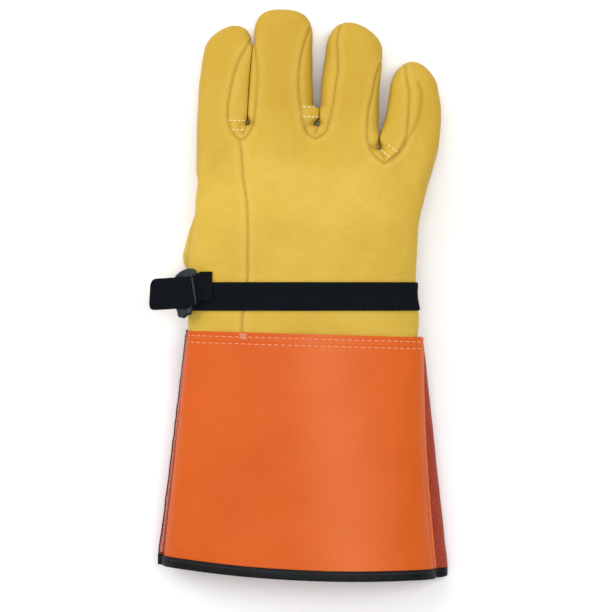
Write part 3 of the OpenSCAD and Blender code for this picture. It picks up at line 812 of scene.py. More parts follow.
def shaped_hand():
    """The hand's outside, with seams pressed in and the leather puffed beside them."""
    fingers = ((INDEX, INDEX_TIP), (MIDDLE, MIDDLE_TIP), (RING, RING_TIP), (LITTLE, LITTLE_TIP))
    gaps = ((GAP_1, 103, 158, 6, INDEX, MIDDLE), (GAP_2, 102.5, 118, 4, MIDDLE, RING),
            (GAP_3, 88.5, 108, 14, RING, LITTLE))
    solids = [chain_mesh(chain, tip, power=FINGER_POWER) for chain, tip in fingers]
    for k, (gap, low, *_) in enumerate(gaps):
        solids[k] = held_apart(solids[k], gap, low, -1)
        solids[k + 1] = held_apart(solids[k + 1], gap, low, 1)
    verts, faces = remeshed([chain_mesh(HAND), chain_mesh(WEB)] + solids, VOXEL, 12)
    verts = verts + vertex_normals(verts, faces) * 0.25
    held = np.zeros(len(verts))
    for gap in gaps:
        verts, tight = close_gap(verts, *gap)
        held = np.maximum(held, tight)
    normals = vertex_normals(verts, faces)
    plan = verts[:, :2]
    level = np.abs(normals[:, 2])
    tilt = np.maximum(level, 0.4)
    forks, back = seam_lines()
    distance = np.min([distance_to(plan, line) for line in forks], axis=0) / tilt
    upper = verts[:, 2] > mid_z(verts[:, 1])
    distance = np.where(upper, np.minimum(distance, distance_to(plan, back) / tilt), distance)
    lens = distance_to(plan, spline(FORK_3_LENS, 30)) / tilt
    distance = np.where(upper, np.minimum(distance, lens + 0.3), distance)
    # side seams between back and palm, on the outer sides of the hand
    between = ((plan[:, 0] > -32) & (plan[:, 0] < 66) & (verts[:, 1] > 88))
    side = np.abs(verts[:, 2] - (mid_z(verts[:, 1]) - SEAM_DROP)) / np.maximum(1 - level, 0.3)
    distance = np.where(~between & (level < 0.75), np.minimum(distance, side), distance)
    groove = bell(distance, 0.7)
    puff = bell(distance - 3.0, 2.2)
    crease = distance_to(plan, spline(LITTLE_CREASE, 40)) / tilt
    soft = np.where(upper, bell(crease, 1.1), 0)
    ridge = np.where(upper, bell(crease - 2.8, 1.6), 0)
    strap = np.clip(1 - np.abs(verts[:, 1] - STRAP_Y) / (STRAP_W / 2 + 2.5), 0, 1)
    strap = eased(strap)
    waves = rough(verts, 26, 1) * 0.55 + rough(verts, 11, 2) * 0.22 + rough(verts, 4.5, 3) * 0.07
    # folds gather beside the seams of the forks and at the finger roots
    gather_at = bell(verts[:, 1] - 92, 16)
    stretched = verts * np.array([1, 0.35, 1])
    folds = rough(stretched, 5.5, 4) * 0.28 * (gather_at + 0.15)
    gap_ends = np.min([distance_to(plan, spline(line, 20)) for line in GAP_ENDS], axis=0) / tilt
    ends = np.where(upper, bell(gap_ends, 0.8), 0)
    offset = (-0.55 * groove + 0.16 * puff - 0.75 * soft + 0.3 * ridge - 0.9 * ends - 0.8 * strap
              + waves + folds) * (1 - held)
    verts = verts + normals * offset[:, None]
    normals = vertex_normals(verts, faces)
    # the last two give the leather's painted shade in the grooves and creases, and its painted highlight on
    # the puffs
    return verts, faces, normals, np.maximum(groove, 0.45 * soft + 0.8 * ends), puff


def labels_of(middles):
    """The panel that each place of the hand belongs to."""
    plan = middles[:, :2]
    far = 400
    upper = middles[:, 2] > mid_z(middles[:, 1]) - SEAM_DROP
    forks = []
    for fork in FORKS:
        left, right = [spline(side, 80) for side in fork]
        ring = np.vstack([left[::-1], right[1:], [[right[-1, 0], far], [left[-1, 0], far]]])
        forks.append(inside(plan, ring))
    gaps = [np.array(g, float) for g in (GAP_1, GAP_2, GAP_3)]
    finger = sum((plan[:, 0] > np.interp(plan[:, 1], g[:, 1], g[:, 0])).astype(int) for g in gaps)
    back = spline(BACK_SEAM, 120)[::-1]
    index_side = plan[:, 0] < np.interp(plan[:, 1], back[:, 1], back[:, 0])
    return finger, forks, upper, index_side


def where_thumb_is_set_in(middles):
    """Which faces lie in the oval that palm and thumb leave open to each other."""
    return (((middles[:, 0] - THUMB_AT[0]) / THUMB_OVAL[0]) ** 2
            + ((middles[:, 1] - THUMB_AT[1]) / THUMB_OVAL[1]) ** 2) < 0.9


FINGERS = ("index", "middle", "ring", "little")
FOLD_Y = dict(index=130, middle=134, ring=134, little=111)
FORK_NAMES = ("index_middle", "middle_ring", "ring_little")
WALLS = {("index", 0): "index_inner_fourchette", ("middle", 0): "middle_index_side_fourchette",
         ("middle", 1): "middle_ring_side_fourchette", ("ring", 1): "ring_middle_side_fourchette",
         ("ring", 2): "ring_little_side_fourchette", ("little", 2): "little_inner_fourchette"}


def cut_out(name, verts, faces, normals, chosen, groove, puff, replaced):
    """A leather piece from some faces of the hand, with its thickness."""
    picked = [faces[k] for k in np.flatnonzero(chosen)]
    used = np.unique(np.concatenate([np.array(f) for f in picked]))
    new = -np.ones(len(verts), int)
    new[used] = np.arange(len(used))
    outer = [[int(new[k]) for k in f] for f in picked]
    n = len(used)
    inner = [[k + n for k in f[::-1]] for f in outer]
    seen = {}
    for f in outer:
        for a, b in zip(f, f[1:] + f[:1]):
            seen[(a, b)] = True
    rim = [[b, a, a + n, b + n] for a, b in seen if (b, a) not in seen]
    points = np.vstack([verts[used], verts[used] - normals[used] * LEATHER_T])
    facing = np.vstack([normals[used], -normals[used]])
    obj = make(name, points, outer + inner + rim, LEATHER, "hand_leather", facing)
    obj.data.materials.append(RAW)
    inside_faces = np.zeros(len(obj.data.polygons), np.int32)
    inside_faces[len(outer):len(outer) + len(inner)] = 1
    obj.data.polygons.foreach_set("material_index", inside_faces)
    # painted shade in the grooves and creases, and painted highlight on the puffs
    attribute(obj, "seam", np.concatenate([groove[used], np.zeros(n)]))
    attribute(obj, "edge", np.concatenate([puff[used], np.zeros(n)]))
    attribute(obj, "tipward", np.clip((points[:, 1] - 60) / 60, 0, 1))
    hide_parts(*replaced)
    return obj


def build_hand():
    """Every leather panel of the hand and fingers, cut from one surface, which it gives back."""
    verts, faces, normals, groove, puff = shaped_hand()
    middles = face_middles(verts, faces)
    finger, forks, upper, index_side = labels_of(middles)
    keep = middles[:, 1] > HAND_END_Y
    cut_at = np.array([FOLD_Y[f] - KNUCKLE_L / 2 - ROOT_MARGIN for f in FINGERS])
    beyond = middles[:, 1] > cut_at[finger]
    fork = np.full(len(middles), -1)
    for k, mask in enumerate(forks):
        fork[mask] = k

    def hand_part(name, mask, *replaced):
        obj = cut_out(name, verts, faces, normals, keep & ~beyond & mask, groove, puff, replaced)
        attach(obj, "glove")

    hand_part("hand_back", (fork < 0) & upper & ~index_side, "hand_back_panel")
    hand_part("index_side", (fork < 0) & upper & index_side, "index_side_panel")
    # the palm is open where the thumb is set in
    hole = where_thumb_is_set_in(middles)
    hand_part("hand_palm", (fork < 0) & ~upper & ~hole, "hand_palm_panel")
    for k, name in enumerate(FORK_NAMES):
        hand_part(name + "_gusset", fork == k, name + "_fork_gusset")

    for k, name in enumerate(FINGERS):
        mine = keep & beyond & (finger == k)

        def finger_part(piece, mask, *replaced):
            if not (mine & mask).any():
                return
            obj = cut_out(piece, verts, faces, normals, mine & mask, groove, puff, replaced)
            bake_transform(obj)

        finger_part(name + "_finger_back", (fork < 0) & upper, name + "_back", name + "_knuckle_sleeve")
        finger_part(name + "_finger_palm", (fork < 0) & ~upper, name + "_palm")
        for (owner, which), wall in WALLS.items():
            if owner == name:
                finger_part(wall.replace("fourchette", "wall"), fork == which, wall)
    return verts, faces


HAND_VERTS, HAND_FACES = build_hand()
HAND_TREE = search_tree(HAND_VERTS, HAND_FACES)


def on_back(plan_line, count, lift=0.0):
    """A plan line dropped onto the back of the hand: its points and normals."""
    line = spline(plan_line, count)
    points, ups = [], []
    for x, y in line:
        hit, normal, _, _ = HAND_TREE.ray_cast(Vector((x, y, 120)), Vector((0, 0, -1)))
        if hit is None:
            continue
        points.append(np.array(hit) + np.array(normal) * lift)
        ups.append(np.array(normal))
    points, ups = np.array(points), np.array(ups)
    for _ in range(3):
        ups[1:-1] = (ups[:-2] + ups[1:-1] + ups[2:]) / 3
    return points, unit(ups)


def hand_stitches():
    """The short double rows at the forks."""
    rows = {
        "fork_1_row_a": [[-43, 107.2], [-38, 107], [-33, 107.2]],
        "fork_1_row_b": [[-41.4, 101.4], [-37.5, 101.2], [-33.2, 101.4]],
        "fork_2_row_a": [[2.4, 115.6], [6.5, 115.4], [10.6, 115.6]],
        "fork_2_row_b": [[2.4, 109.4], [7.2, 109.2], [12.2, 109.4]],
        "fork_3_row_a": [[50.4, 88.9], [53.4, 86], [56.4, 83.4]],
        "fork_3_row_b": [[55.0, 92.0], [58.2, 89.2], [61.0, 87.0]],
    }
    for name, line in rows.items():
        points, ups = on_back(line, 24)
        row = stitch_row(name, points, ups, BEIGE_THREAD, "pale_thread", 2.6, 1.6, 0.45, 0.15)
        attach(row, "glove")


hand_stitches()


# ---------------------------------------------------------------- thumb

def build_thumb():
    """The thumb's two halves, and the collar that joins it to the palm."""
    verts, faces = remeshed([chain_mesh(THUMB, THUMB_TIP, THUMB_Z, root=True)], THUMB_VOXEL, 8)
    normals = vertex_normals(verts, faces)
    level = np.abs(normals[:, 2])
    seam = np.abs(verts[:, 2] - THUMB_Z) / np.maximum(1 - level, 0.3)
    groove = bell(seam, 0.8) * (level < 0.8)
    puff = bell(seam - 2.6, 1.4) * (level < 0.8)
    waves = rough(verts, 18, 5) * 0.4 + rough(verts, 6, 6) * 0.15
    verts = verts + normals * (waves + 0.35 * puff - 0.7 * groove)[:, None]
    verts[:, 2] = np.maximum(verts[:, 2], 0.05)
    normals = vertex_normals(verts, faces)
    middles = face_middles(verts, faces)
    front = middles[:, 2] > THUMB_Z
    hole = where_thumb_is_set_in(middles)
    # groove and puff also give the painted shade in the seam and the painted highlight beside it
    halves = (("thumb_palm_half", front & ~hole, "thumb_front"), ("thumb_back_half", ~front, "thumb_back"))
    for name, mask, node in halves:
        obj = cut_out(name, verts, faces, normals, mask, groove, puff, [node])
        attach(obj, "thumb")
    tree = search_tree(verts, faces)

    # the collar, from the palm down to the thumb
    around, levels = 72, 14
    angle = np.linspace(0, 2 * np.pi, around, endpoint=False)
    # it spreads towards the fingers, where the thumb's web is
    reach = np.where(np.sin(angle) > 0, COLLAR_WEB, COLLAR_HEEL)

    def ring(spread):
        y_spread = 1 + (reach - 1) * spread
        return (THUMB_AT[0] + THUMB_OVAL[0] * (1 + 0.12 * spread) * np.cos(angle),
                THUMB_AT[1] + THUMB_OVAL[1] * y_spread * np.sin(angle))

    top, low = [], []
    for px, py in zip(*ring(1)):
        up, _, _, _ = HAND_TREE.ray_cast(Vector((px, py, 0)), Vector((0, 0, 1)))
        top.append(up.z if up else 22)
    for px, py in zip(*ring(0.8)):
        down, _, _, _ = tree.ray_cast(Vector((px, py, 60)), Vector((0, 0, -1)))
        low.append(down.z if down else THUMB_Z)
    top, low = np.array(top) + 0.6, np.array(low) - 0.6
    rows = []
    for t in np.linspace(0, 1, levels):
        x, y = ring(1 - 0.2 * t - 0.55 * math.sin(math.pi * t))
        rows.append(np.stack([x, y, top * (1 - t) + low * t], axis=1))
    outer = np.array(rows)
    normal = grid_normals(np.concatenate([outer, outer[:, :1]], axis=1))[:, :-1]
    centre = np.array([THUMB_AT[0], THUMB_AT[1], 0])
    if ((outer - centre)[..., :2] * normal[..., :2]).sum() < 0:
        normal = -normal
    ridge = rough(outer, 5, 8)
    outer = outer + normal * (0.3 * ridge)[..., None]
    collar = slab("thumb_collar_leather", outer, outer - normal * LEATHER_T,
                  LEATHER, "hand_leather", closed=True)
    attribute(collar, "seam", np.zeros(len(collar.data.vertices)))
    attribute(collar, "edge", np.zeros(len(collar.data.vertices)))
    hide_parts("thumb_collar")
    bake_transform(collar)


build_thumb()


# ---------------------------------------------------------------- cuff

def mix(pair, t):
    """Between the two values of a pair, by t."""
    return pair[0] + (pair[1] - pair[0]) * t


def cuff_base(v):
    """Height at which the orange panel's sides end."""
    return mix(CUFF_FLOOR, v) + 2 * mix(CUFF_FOLD_R, v) + CUFF_GAP


def cuff_y(x, v, extra=0.0):
    """Y of a place on the cuff, from the slanted top edge to the bowed hem."""
    share = (x - CUFF_LEFT[0]) / (CUFF_RIGHT[0] - CUFF_LEFT[0])
    top = mix(CUFF_TOP_Y, share)
    drop = HEM_CORNER[1] * np.minimum(np.abs(x) / HEM_CORNER[0], 1) ** 6
    hem = HEM_LOWEST[1] + HEM_BOW * (x - HEM_LOWEST[0]) ** 2 - drop + HEM_W
    return top + (hem - top) * v - extra


def back_points(u, v, off=0.0, extra=0.0):
    """Points of the orange panel: u from left to right, v from the hand to the hem."""
    u, v = np.broadcast_arrays(np.asarray(u, float), np.asarray(v, float))
    bow = np.sin(np.pi * np.clip(v, 0, 1))
    left = mix(CUFF_LEFT, v) + CUFF_BOW[0] * bow
    right = mix(CUFF_RIGHT, v) + CUFF_BOW[1] * bow
    t = np.pi * (1 - u)
    x = (left + right) / 2 + ((right - left) / 2 + off) * signed_power(np.cos(t), 2 / SECTION_POWER)
    z = cuff_base(v) + (mix(CUFF_CROWN, v) + off) * signed_power(np.sin(t), 2 / SECTION_POWER)
    # the fabric lies in broad soft waves
    wave = 0.9 * np.sin(6.5 * u + 2.2 * v) * np.sin(np.pi * v) * np.sin(np.pi * u)
    wave = wave + 0.5 * np.sin(15 * u - 3 * v) * np.sin(np.pi * u) * (0.3 + 0.7 * v)
    return np.stack([x, cuff_y(x, v, extra), z + wave], axis=-1)


def even_u(count):
    """Values of u that step evenly along the crown, with more at the rolled sides."""
    u = np.linspace(0, 1, 2001)
    line = back_points(u, 0.5)
    run = run_along(line)
    return np.interp(np.linspace(0, run[-1], count), run, u)


def left_bow(v):
    """How far the left side bows away from straight."""
    return CUFF_BOW[0] * math.sin(math.pi * min(max(v, 0), 1))


def fin_x(v):
    """The standing left edge, with a rounded upper corner and slightly uneven."""
    corner = 1 - min(max(v / FIN_CORNER, 0), 1)
    uneven = 0.28 * noise.noise(Vector((v * 21, 0.3, 7))) + 0.16 * noise.noise(Vector((v * 75, 1.3, 7)))
    return mix(CUFF_FIN, v) + left_bow(v) + (mix(CUFF_LEFT, v) - mix(CUFF_FIN, v)) * corner ** 2 + uneven


def palm_outline(v, last=108):
    """The split leather seen along Y, from its standing left edge to its loose right fold."""
    seam = fin_x(v)
    wall = mix(CUFF_LEFT, v) + mix(CUFF_WALL_IN, v) + left_bow(v)
    right, floor = mix(CUFF_SPLIT_RIGHT, v), mix(CUFF_FLOOR, v)
    r = mix(CUFF_FOLD_R, v)
    ledge = cuff_base(v) - CUFF_GAP - SPLIT_T

    def arc(centre_x, angles):
        return [[centre_x + r * math.cos(a), floor + r + r * math.sin(a)] for a in np.radians(angles)]

    line = [[seam, ledge], [seam + 0.7 * (wall - seam), ledge],
            [wall - 0.4, ledge - 0.15], [wall, ledge - 0.9]]
    line += arc(wall + r, np.linspace(180, 270, 16)) + arc(right - r, np.linspace(270, 360 + last, 34))
    return even(np.array(line), 150)


def palm_points(vs):
    """Points of the split leather, a row for each v."""
    rows = []
    for v in vs:
        line = palm_outline(float(v))
        rows.append(np.stack([line[:, 0], cuff_y(line[:, 0], v), line[:, 1]], axis=1))
    return np.array(rows)


def outward(points, towards):
    """Grid normals, turned to the side that faces away from a point."""
    normal = grid_normals(points)
    if ((points - np.asarray(towards)) * normal).sum() < 0:
        normal = -normal
    return normal


CUFF_MIDDLE = (0, -100, 22)


def build_cuff_back():
    """The orange panel, its stitch rows and its rolled right edge."""
    us, vs = even_u(190), np.linspace(0, 1, 130)
    outer = back_points(us[None, :], vs[:, None])
    normal = outward(outer, CUFF_MIDDLE)
    lumps = rough(outer, 30, 11)
    ripple = rough(outer * np.array([1, 0.5, 1]), 9, 12)
    # two stitch rows pull the top edge in
    depth = (outer[0, :, 1][None, :] - outer[..., 1])
    pull = sum(bell(depth - down, 0.9) for _, down, _ in CUFF_ROWS)
    fade = np.clip(np.minimum(us, 1 - us) / 0.06, 0, 1)[None, :]
    offset = (0.7 * lumps + 0.16 * ripple) * fade - 0.28 * pull
    outer = outer + normal * offset[..., None]
    panel = slab("cuff_back", outer, outer - normal * VINYL_T, VINYL, "coated_fabric")
    # painted highlight: a pale band right of the crown, where light is reflected, and a stronger one along
    # the rolled right edge
    flat = np.vstack([outer.reshape(-1, 3)] * 2)
    middle_x = 24 - 0.12 * (flat[:, 1] + 100)
    edge_share = np.tile(np.repeat(us[None, :], len(vs), axis=0).ravel(), 2)
    rim = 1.8 * np.clip((edge_share - 0.955) / 0.03, 0, 1)
    attribute(panel, "painted_sheen", bell(flat[:, 0] - middle_x, 21) + rim)
    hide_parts("cuff_back_panel")
    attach(panel, "glove")

    # stitches follow the finished surface
    tree = search_tree(outer.reshape(-1, 3), grid_faces(*outer.shape[:2]).tolist())
    inner_us = us[4:-4]
    for name, down, node in CUFF_ROWS:
        line = back_points(inner_us, np.zeros(len(inner_us)), 0, down)
        points, ups = [], []
        for p in line:
            hit, up, _, _ = tree.find_nearest(Vector(p))
            up = -up if up.z < 0 else up
            points.append(np.array(hit))
            ups.append(np.array(up))
        row = stitch_row(name, np.array(points), np.array(ups), PINK_THREAD, "pale_thread",
                         4.0, 2.5, 0.36, 0.12)
        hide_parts(node)
        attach(row, "glove")

    # the rolled right edge
    edge = outer[:, -1] + np.array([0.2, 0, 0.3])
    rolled = make("cuff_rolled_edge", *tube(edge, 0.95, 12), VINYL, "coated_fabric")
    # painted highlight over the whole rolled edge
    attribute(rolled, "painted_sheen", np.full(len(rolled.data.vertices), 2.2))
    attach(rolled, "glove")


def build_cuff_palm():
    """The split leather under the cuff, with its nap, darker along its standing left edge."""
    palm_vs = np.linspace(0, 1, 110)
    under = palm_points(palm_vs)
    facing = outward(under, CUFF_MIDDLE)
    nap = rough(under, 12, 13)
    lift = np.clip(under[..., 2] / 3.0, 0, 1)
    under_outer = under + facing * (0.35 * nap * lift)[..., None]
    palm = slab("cuff_palm", under_outer, under - facing * SPLIT_T, SUEDE, "split_leather")
    from_fin = np.vstack([(under[..., 0] - under[:, :1, 0]).reshape(-1, 1)] * 2).ravel()
    attribute(palm, "dark_edge", 0.85 * np.clip(1 - from_fin / 0.9, 0, 1))
    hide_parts("cuff_palm_panel")
    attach(palm, "glove")


def build_side_seam():
    """The turned-out seam allowance and the stitches on the standing left edge."""
    fin_v = np.linspace(0.01, 0.985, 100)
    fin = np.array([[fin_x(float(v)), 0, cuff_base(v)] for v in fin_v])
    fin[:, 1] = cuff_y(fin[:, 0], fin_v)
    # its width runs from the fin to just over the orange panel's edge
    shares = np.linspace(0, 1, 9)
    across = np.array([mix(CUFF_LEFT, float(v)) + 0.9 - fin_x(float(v)) - 0.5 for v in fin_v])
    flat = 0 * across
    strip = np.stack([fin + np.stack([0.5 + across * s, flat, flat + 0.25 + 0.5 * s], axis=1)
                      for s in shares], axis=1)
    flap = slab("cuff_seam_allowance", strip + np.array([0, 0, 0.45]), strip - np.array([0, 0, 0.35]),
                SUEDE, "split_leather")
    patchy = 0.5 + 0.5 * rough(strip, 3.0, 15)
    pale = bell(shares - 0.36, 0.16)[None, :] * np.clip(0.35 + 0.9 * patchy, 0, 1)
    dark = np.clip(1 - shares / 0.22, 0, 1)[None, :] + 0 * patchy
    attribute(flap, "pale_edge", np.tile((0.75 * pale).ravel(), 2))
    attribute(flap, "dark_edge", np.tile((0.8 * dark).ravel(), 2))
    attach(flap, "glove")
    up = np.tile([0.0, 0, 1], (len(fin), 1))
    row = stitch_row("cuff_side_row", fin + np.array([1.6, 0, 0.9]), up, WHITE_THREAD, "pale_thread",
                     3.1, 1.7, 0.24, 0.08)
    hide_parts("cuff_side_seam_thread")
    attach(row, "glove")


def hem_band(name, line, inward, node):
    """A folded binding round an edge. line is the edge, inward the way into the sheet's thickness."""
    half_t, width = HEM_T / 2, HEM_W
    corner = 1.1
    section = []
    for cx, cy, a0 in ((width - corner, half_t - corner, 0), (corner, half_t - corner, 90),
                       (corner, corner - half_t, 180), (width - corner, corner - half_t, 270)):
        for a in np.radians(np.linspace(a0, a0 + 90, 5)):
            section.append([cx + corner * math.cos(a), cy + corner * math.sin(a)])
    section = np.array(section)
    down = np.array([0.0, -1.0, 0.0])
    seed = np.arange(len(line)) * 1.0
    pucker = np.sin(seed * 0.9) * 0.12 + np.array([noise.noise(Vector((s / 9, 1, 2))) for s in seed]) * 0.4
    grid = (line[:, None] + down[None, None] * section[None, :, 0:1]
            - inward[:, None] * (section[None, :, 1:2] * (1 + 0.12 * pucker[:, None, None])))
    obj = make(name, grid.reshape(-1, 3), tube_faces(*grid.shape[:2], flip=True), BINDING, "binding")
    tidy_normals(obj)
    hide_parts(node)
    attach(obj, "glove")


def build_hems():
    """The black binding of each panel, and the stitches on the back's."""
    us = even_u(260)
    line = back_points(us, np.ones(len(us)), -VINYL_T / 2, -0.8)
    near = back_points(us, np.ones(len(us)), -VINYL_T / 2 - 1, -0.8)
    inward = near - line
    inward[:, 1] = 0
    inward = unit(inward)
    hem_band("hem_back", line, inward, "hem_binding_back")
    stitch_line = line - inward * (HEM_T / 2 + 0.02) - np.array([0, 1.9, 0])
    row = stitch_row("hem_row", stitch_line[6:-6], -inward[6:-6], BLACK_THREAD, "dark_thread",
                     2.6, 1.8, 0.3, 0.1)
    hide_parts("hem_thread")
    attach(row, "glove")

    outline = palm_outline(1.0, 86)
    line = np.stack([outline[:, 0], cuff_y(outline[:, 0], 1.0, -0.8), outline[:, 1]], axis=1)
    tangent = np.gradient(line[:, [0, 2]], axis=0)
    normal = unit(np.stack([-tangent[:, 1], 0 * tangent[:, 0], tangent[:, 0]], axis=1))
    line = line + normal * (HEM_T / 2) + np.array([0, 0, 0.25])
    hem_band("hem_palm", line, normal, "hem_binding_palm")


build_cuff_back()
build_cuff_palm()
build_side_seam()
build_hems()


def sampled_x():
    """The x of the top edge along u, to look up the u of a given x."""
    u = np.linspace(0, 1, 400)
    return back_points(u, np.zeros(400))[:, 0], u


def build_bar_tack():
    """Close zigzag stitches where the long back seam runs under the cuff."""
    parts = []
    rows = 8
    for k in range(rows):
        ends = np.array([-36.4 + 0.35 * math.sin(k * 2.1), -31.6 + 0.4 * math.sin(k * 1.3 + 1)])
        x = np.linspace(ends[0], ends[1], 9)
        down = np.linspace(0.7 + 0.48 * k, 0.7 + 0.48 * (k + 0.75), 9)
        line = back_points(np.interp(x, *sampled_x()), np.zeros(9), 0.42, down)
        parts.append(tube(line, 0.2, 8))
    verts, faces = gather(parts)
    obj = make("bar_tack_stitches", verts, faces, PINK_THREAD, "pale_thread")
    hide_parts("bar_tack")
    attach(obj, "glove")


build_bar_tack()


# ---------------------------------------------------------------- strap and buckle

def ribbon(name, rows, normals):
    """Ribbed webbing: rows of points across its width, from one end to the other."""
    rows, normals = np.asarray(rows), np.asarray(normals)
    middle = rows[:, rows.shape[1] // 2]
    run = run_along(middle)
    count = int(run[-1] / RIB_PITCH * 6) + 1
    want = np.linspace(0, run[-1], count)
    cols = rows.shape[1]

    def spread(values):
        columns = [[np.interp(want, run, values[:, j, k]) for k in range(3)] for j in range(cols)]
        return np.stack(columns, axis=0).transpose(2, 0, 1)

    fine, up = spread(rows), spread(normals)
    up = unit(up)
    rib = RIB_H * np.abs(np.sin(np.pi * want / RIB_PITCH)) ** 0.7
    across = np.linspace(-1, 1, cols)
    edge = np.clip((1 - np.abs(across)) / 0.09, 0, 1) ** 0.5
    half = (STRAP_T * 0.5 * (0.55 + 0.45 * edge))[None, :, None]
    top = fine + up * (half + (rib[:, None] * edge)[..., None])
    low = fine - up * (half + (rib[:, None] * edge * 0.6)[..., None])
    obj = slab(name, top, low, WEBBING, "webbing")
    # how high each rib stands, for the painted highlight on its crest
    crest_highlight = np.repeat((rib / RIB_H)[:, None] ** 3, cols, axis=1).ravel()
    attribute(obj, "rib", np.concatenate([crest_highlight, crest_highlight]))
    return obj


def wrist_rows(turns, width, y_mid, cols=15):
    """Rows across the strap that lie on the hand. Turn 0 is the right edge, 90 the back, 180 the left."""
    wide, deep = WRIST_HALF
    rows = []
    for turn in turns:
        row = []
        for e in np.linspace(-width / 2, width / 2, cols):
            y = y_mid + e
            centre = Vector((WRIST_X, y, mid_z(y)))
            a = math.radians(turn)
            way = Vector((wide * signed_power(math.cos(a), 0.8), 0, deep * signed_power(math.sin(a), 0.8)))
            hit, normal, _, _ = HAND_TREE.ray_cast(centre + way * 1.6, -way.normalized())
            row.append(np.array(hit) + np.array(normal) * STRAP_OFF)
        rows.append(row)
    rows = np.array(rows)
    for _ in range(6):
        rows[1:-1] = (rows[:-2] + 2 * rows[1:-1] + rows[2:]) / 4
        rows[:, 1:-1] = (rows[:, :-2] + 2 * rows[:, 1:-1] + rows[:, 2:]) / 4
    return rows


def path_rows(path, width, y_of, cols=15):
    """Rows across a strap whose middle runs along a path in XZ, with y_of giving the middle's y."""
    rows = []
    for (x, z), y in zip(path, y_of):
        rows.append([[x, y + e, z] for e in np.linspace(-width / 2, width / 2, cols)])
    return np.array(rows)


def path_normals(path, cols):
    """Normals of the rows along a path in XZ."""
    tangent = np.gradient(path, axis=0)
    normal = unit(np.stack([tangent[:, 1], 0 * tangent[:, 0], -tangent[:, 0]], axis=1))
    return np.repeat(normal[:, None], cols, axis=1)


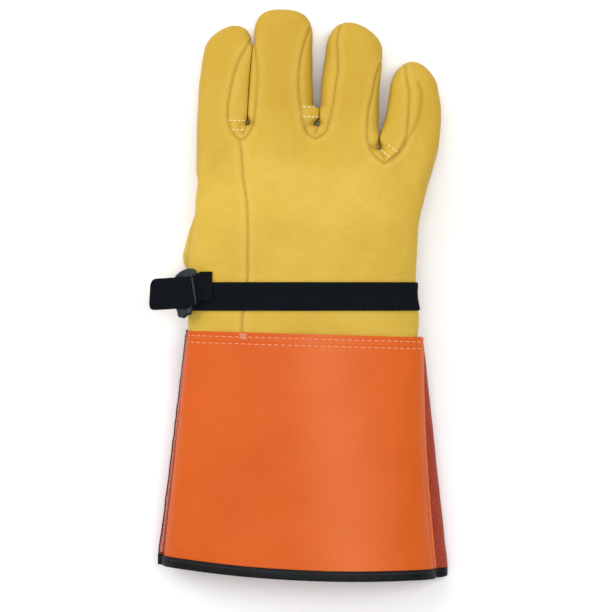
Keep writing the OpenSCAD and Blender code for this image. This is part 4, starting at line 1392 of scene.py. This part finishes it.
def build_straps():
    """The wrist strap with its looped end, the adjusting strap, and its free tail."""
    # the strap over the back, from the buckle's side round the right edge to the palm
    turns = np.concatenate([np.linspace(157, 20, 96), np.linspace(18, -62, 60)])
    rows = wrist_rows(turns, STRAP_W, STRAP_Y)
    below = np.array([WRIST_X, STRAP_Y, 28])
    strap = ribbon("wrist_strap_webbing", rows, outward(rows, below))
    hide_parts("wrist_strap")
    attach(strap, "glove")

    # its end: under the buckle's bar, round it and back on top, sewn down as the tab
    bar_x, _, bar_z = BUCKLE_AT
    start = rows[0, rows.shape[1] // 2]
    r = BAR_R + 0.1 + STRAP_T / 2
    arc = [(bar_x + r * math.cos(a), bar_z + r * math.sin(a))
           for a in np.linspace(math.radians(-76), math.radians(-284), 22)]
    path = [(start[0] + 5.0, start[2] + 2.0), (start[0] + 1.0, start[2] + 1.6)] + arc
    end_x = -53.2
    tab = [(end_x - 5, start[2] + 5.2), (end_x, start[2] + 4.9)]
    path = even(np.array(path + tab), 90)
    share = np.linspace(0, 1, len(path))
    y_line = STRAP_Y + 6.4 * np.clip((share - 0.25) / 0.5, 0, 1)
    loop_rows = path_rows(path, STRAP_W, y_line)
    loop = ribbon("strap_end_loop", loop_rows, path_normals(path, loop_rows.shape[1]))
    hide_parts("strap_loop")
    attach(loop, "glove")

    # the adjusting strap comes up round the thumb side
    turns = np.linspace(240, 168, 60)
    rows = wrist_rows(turns, TAIL_W, 0.2)
    adjust = ribbon("adjusting_strap_webbing", rows, outward(rows, below))
    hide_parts("adjusting_strap")
    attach(adjust, "glove")

    # the free tail, over the buckle and out to the left
    path = spline([(-66.2, 42.4), (-69.0, 42.2), (-72, 40.9), (-76.5, 38.0), (-80.5, 35.6),
                   (-85.5, 33.9), (-91.9, 33.1)], 70)
    cols = 21
    rows = path_rows(path, TAIL_W, np.linspace(1.4, -0.1, 70), cols)
    # round the two free corners
    corner = 3.4
    for i in range(len(rows)):
        left = rows[i, cols // 2, 0] - rows[-1, cols // 2, 0]
        if left < corner:
            keep = 1 - (corner - math.sqrt(max(corner ** 2 - (corner - left) ** 2, 0))) / (TAIL_W / 2)
            rows[i, :, 1] = rows[i, cols // 2, 1] + (rows[i, :, 1] - rows[i, cols // 2, 1]) * keep
    # its cut end is not quite square
    rows[..., 0] += 0.06 * rows[..., 1] * np.clip((-rows[..., 0] - 80) / 10, 0, 1)
    tail = ribbon("strap_tail_webbing", rows, path_normals(path, cols))
    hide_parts("strap_tail")
    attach(tail, "tail")


build_straps()


def buckle_point(x, y, z):
    """A point in the buckle's own directions, from its looped bar, to the row frame."""
    lean, turn = math.radians(BUCKLE_LEAN), math.radians(BUCKLE_TURN)
    x, z = x * math.cos(lean) + z * math.sin(lean), -x * math.sin(lean) + z * math.cos(lean)
    x, y = x * math.cos(turn) - y * math.sin(turn), x * math.sin(turn) + y * math.cos(turn)
    return (BUCKLE_AT[0] + x, BUCKLE_AT[1] + y, BUCKLE_AT[2] + z)


def rounded_rod(points, radius):
    """A rod with rounded ends along points in the buckle's own directions."""
    line = even(np.array([buckle_point(*p) for p in points]), 40)
    reach = np.linspace(0, length_of(line), len(line))
    from_end = np.minimum(reach, reach[-1] - reach)
    r = radius * np.sqrt(np.clip(1 - np.clip(1 - from_end / radius, 0, 1) ** 2, 0.02, 1))
    up = np.array(buckle_point(0, 0, 1)) - np.array(buckle_point(0, 0, 0))
    return tube(line, r, 20, 1.0, up)


def build_buckle():
    """The ladder-lock buckle, moulded in one piece: looped bar, two more bars, lip and ends."""
    half = BUCKLE_L / 2
    inner = half - POST_W
    middle_x = -BUCKLE_SLOT * 0.52
    parts = [
        rounded_rod([(0, -half + 2, 0), (0, half - 1.5, 0)], BAR_R),
        rounded_rod([(middle_x, -inner - 1, 0.3), (middle_x, inner + 1, 0.3)], MIDDLE_BAR_R),
        rounded_rod([(-BUCKLE_SLOT, -inner + 0.5, 0), (-BUCKLE_SLOT, inner, 0)], FAR_BAR_R),
        # the curved lip that stands over the looped bar
        rounded_rod(BUCKLE_LIP, LIP_R),
    ]
    # the two ends, each from rods laid close
    for end in BUCKLE_ENDS:
        for y, near, away in even(np.array(end), 14):
            parts.append(rounded_rod([(near, y, 0), (away, y, 0)], END_R))
    verts, faces = gather(parts)
    obj = make("ladder_lock", verts, faces, PLASTIC, "buckle_plastic")
    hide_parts("buckle")
    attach(obj, "buckle")


build_buckle()
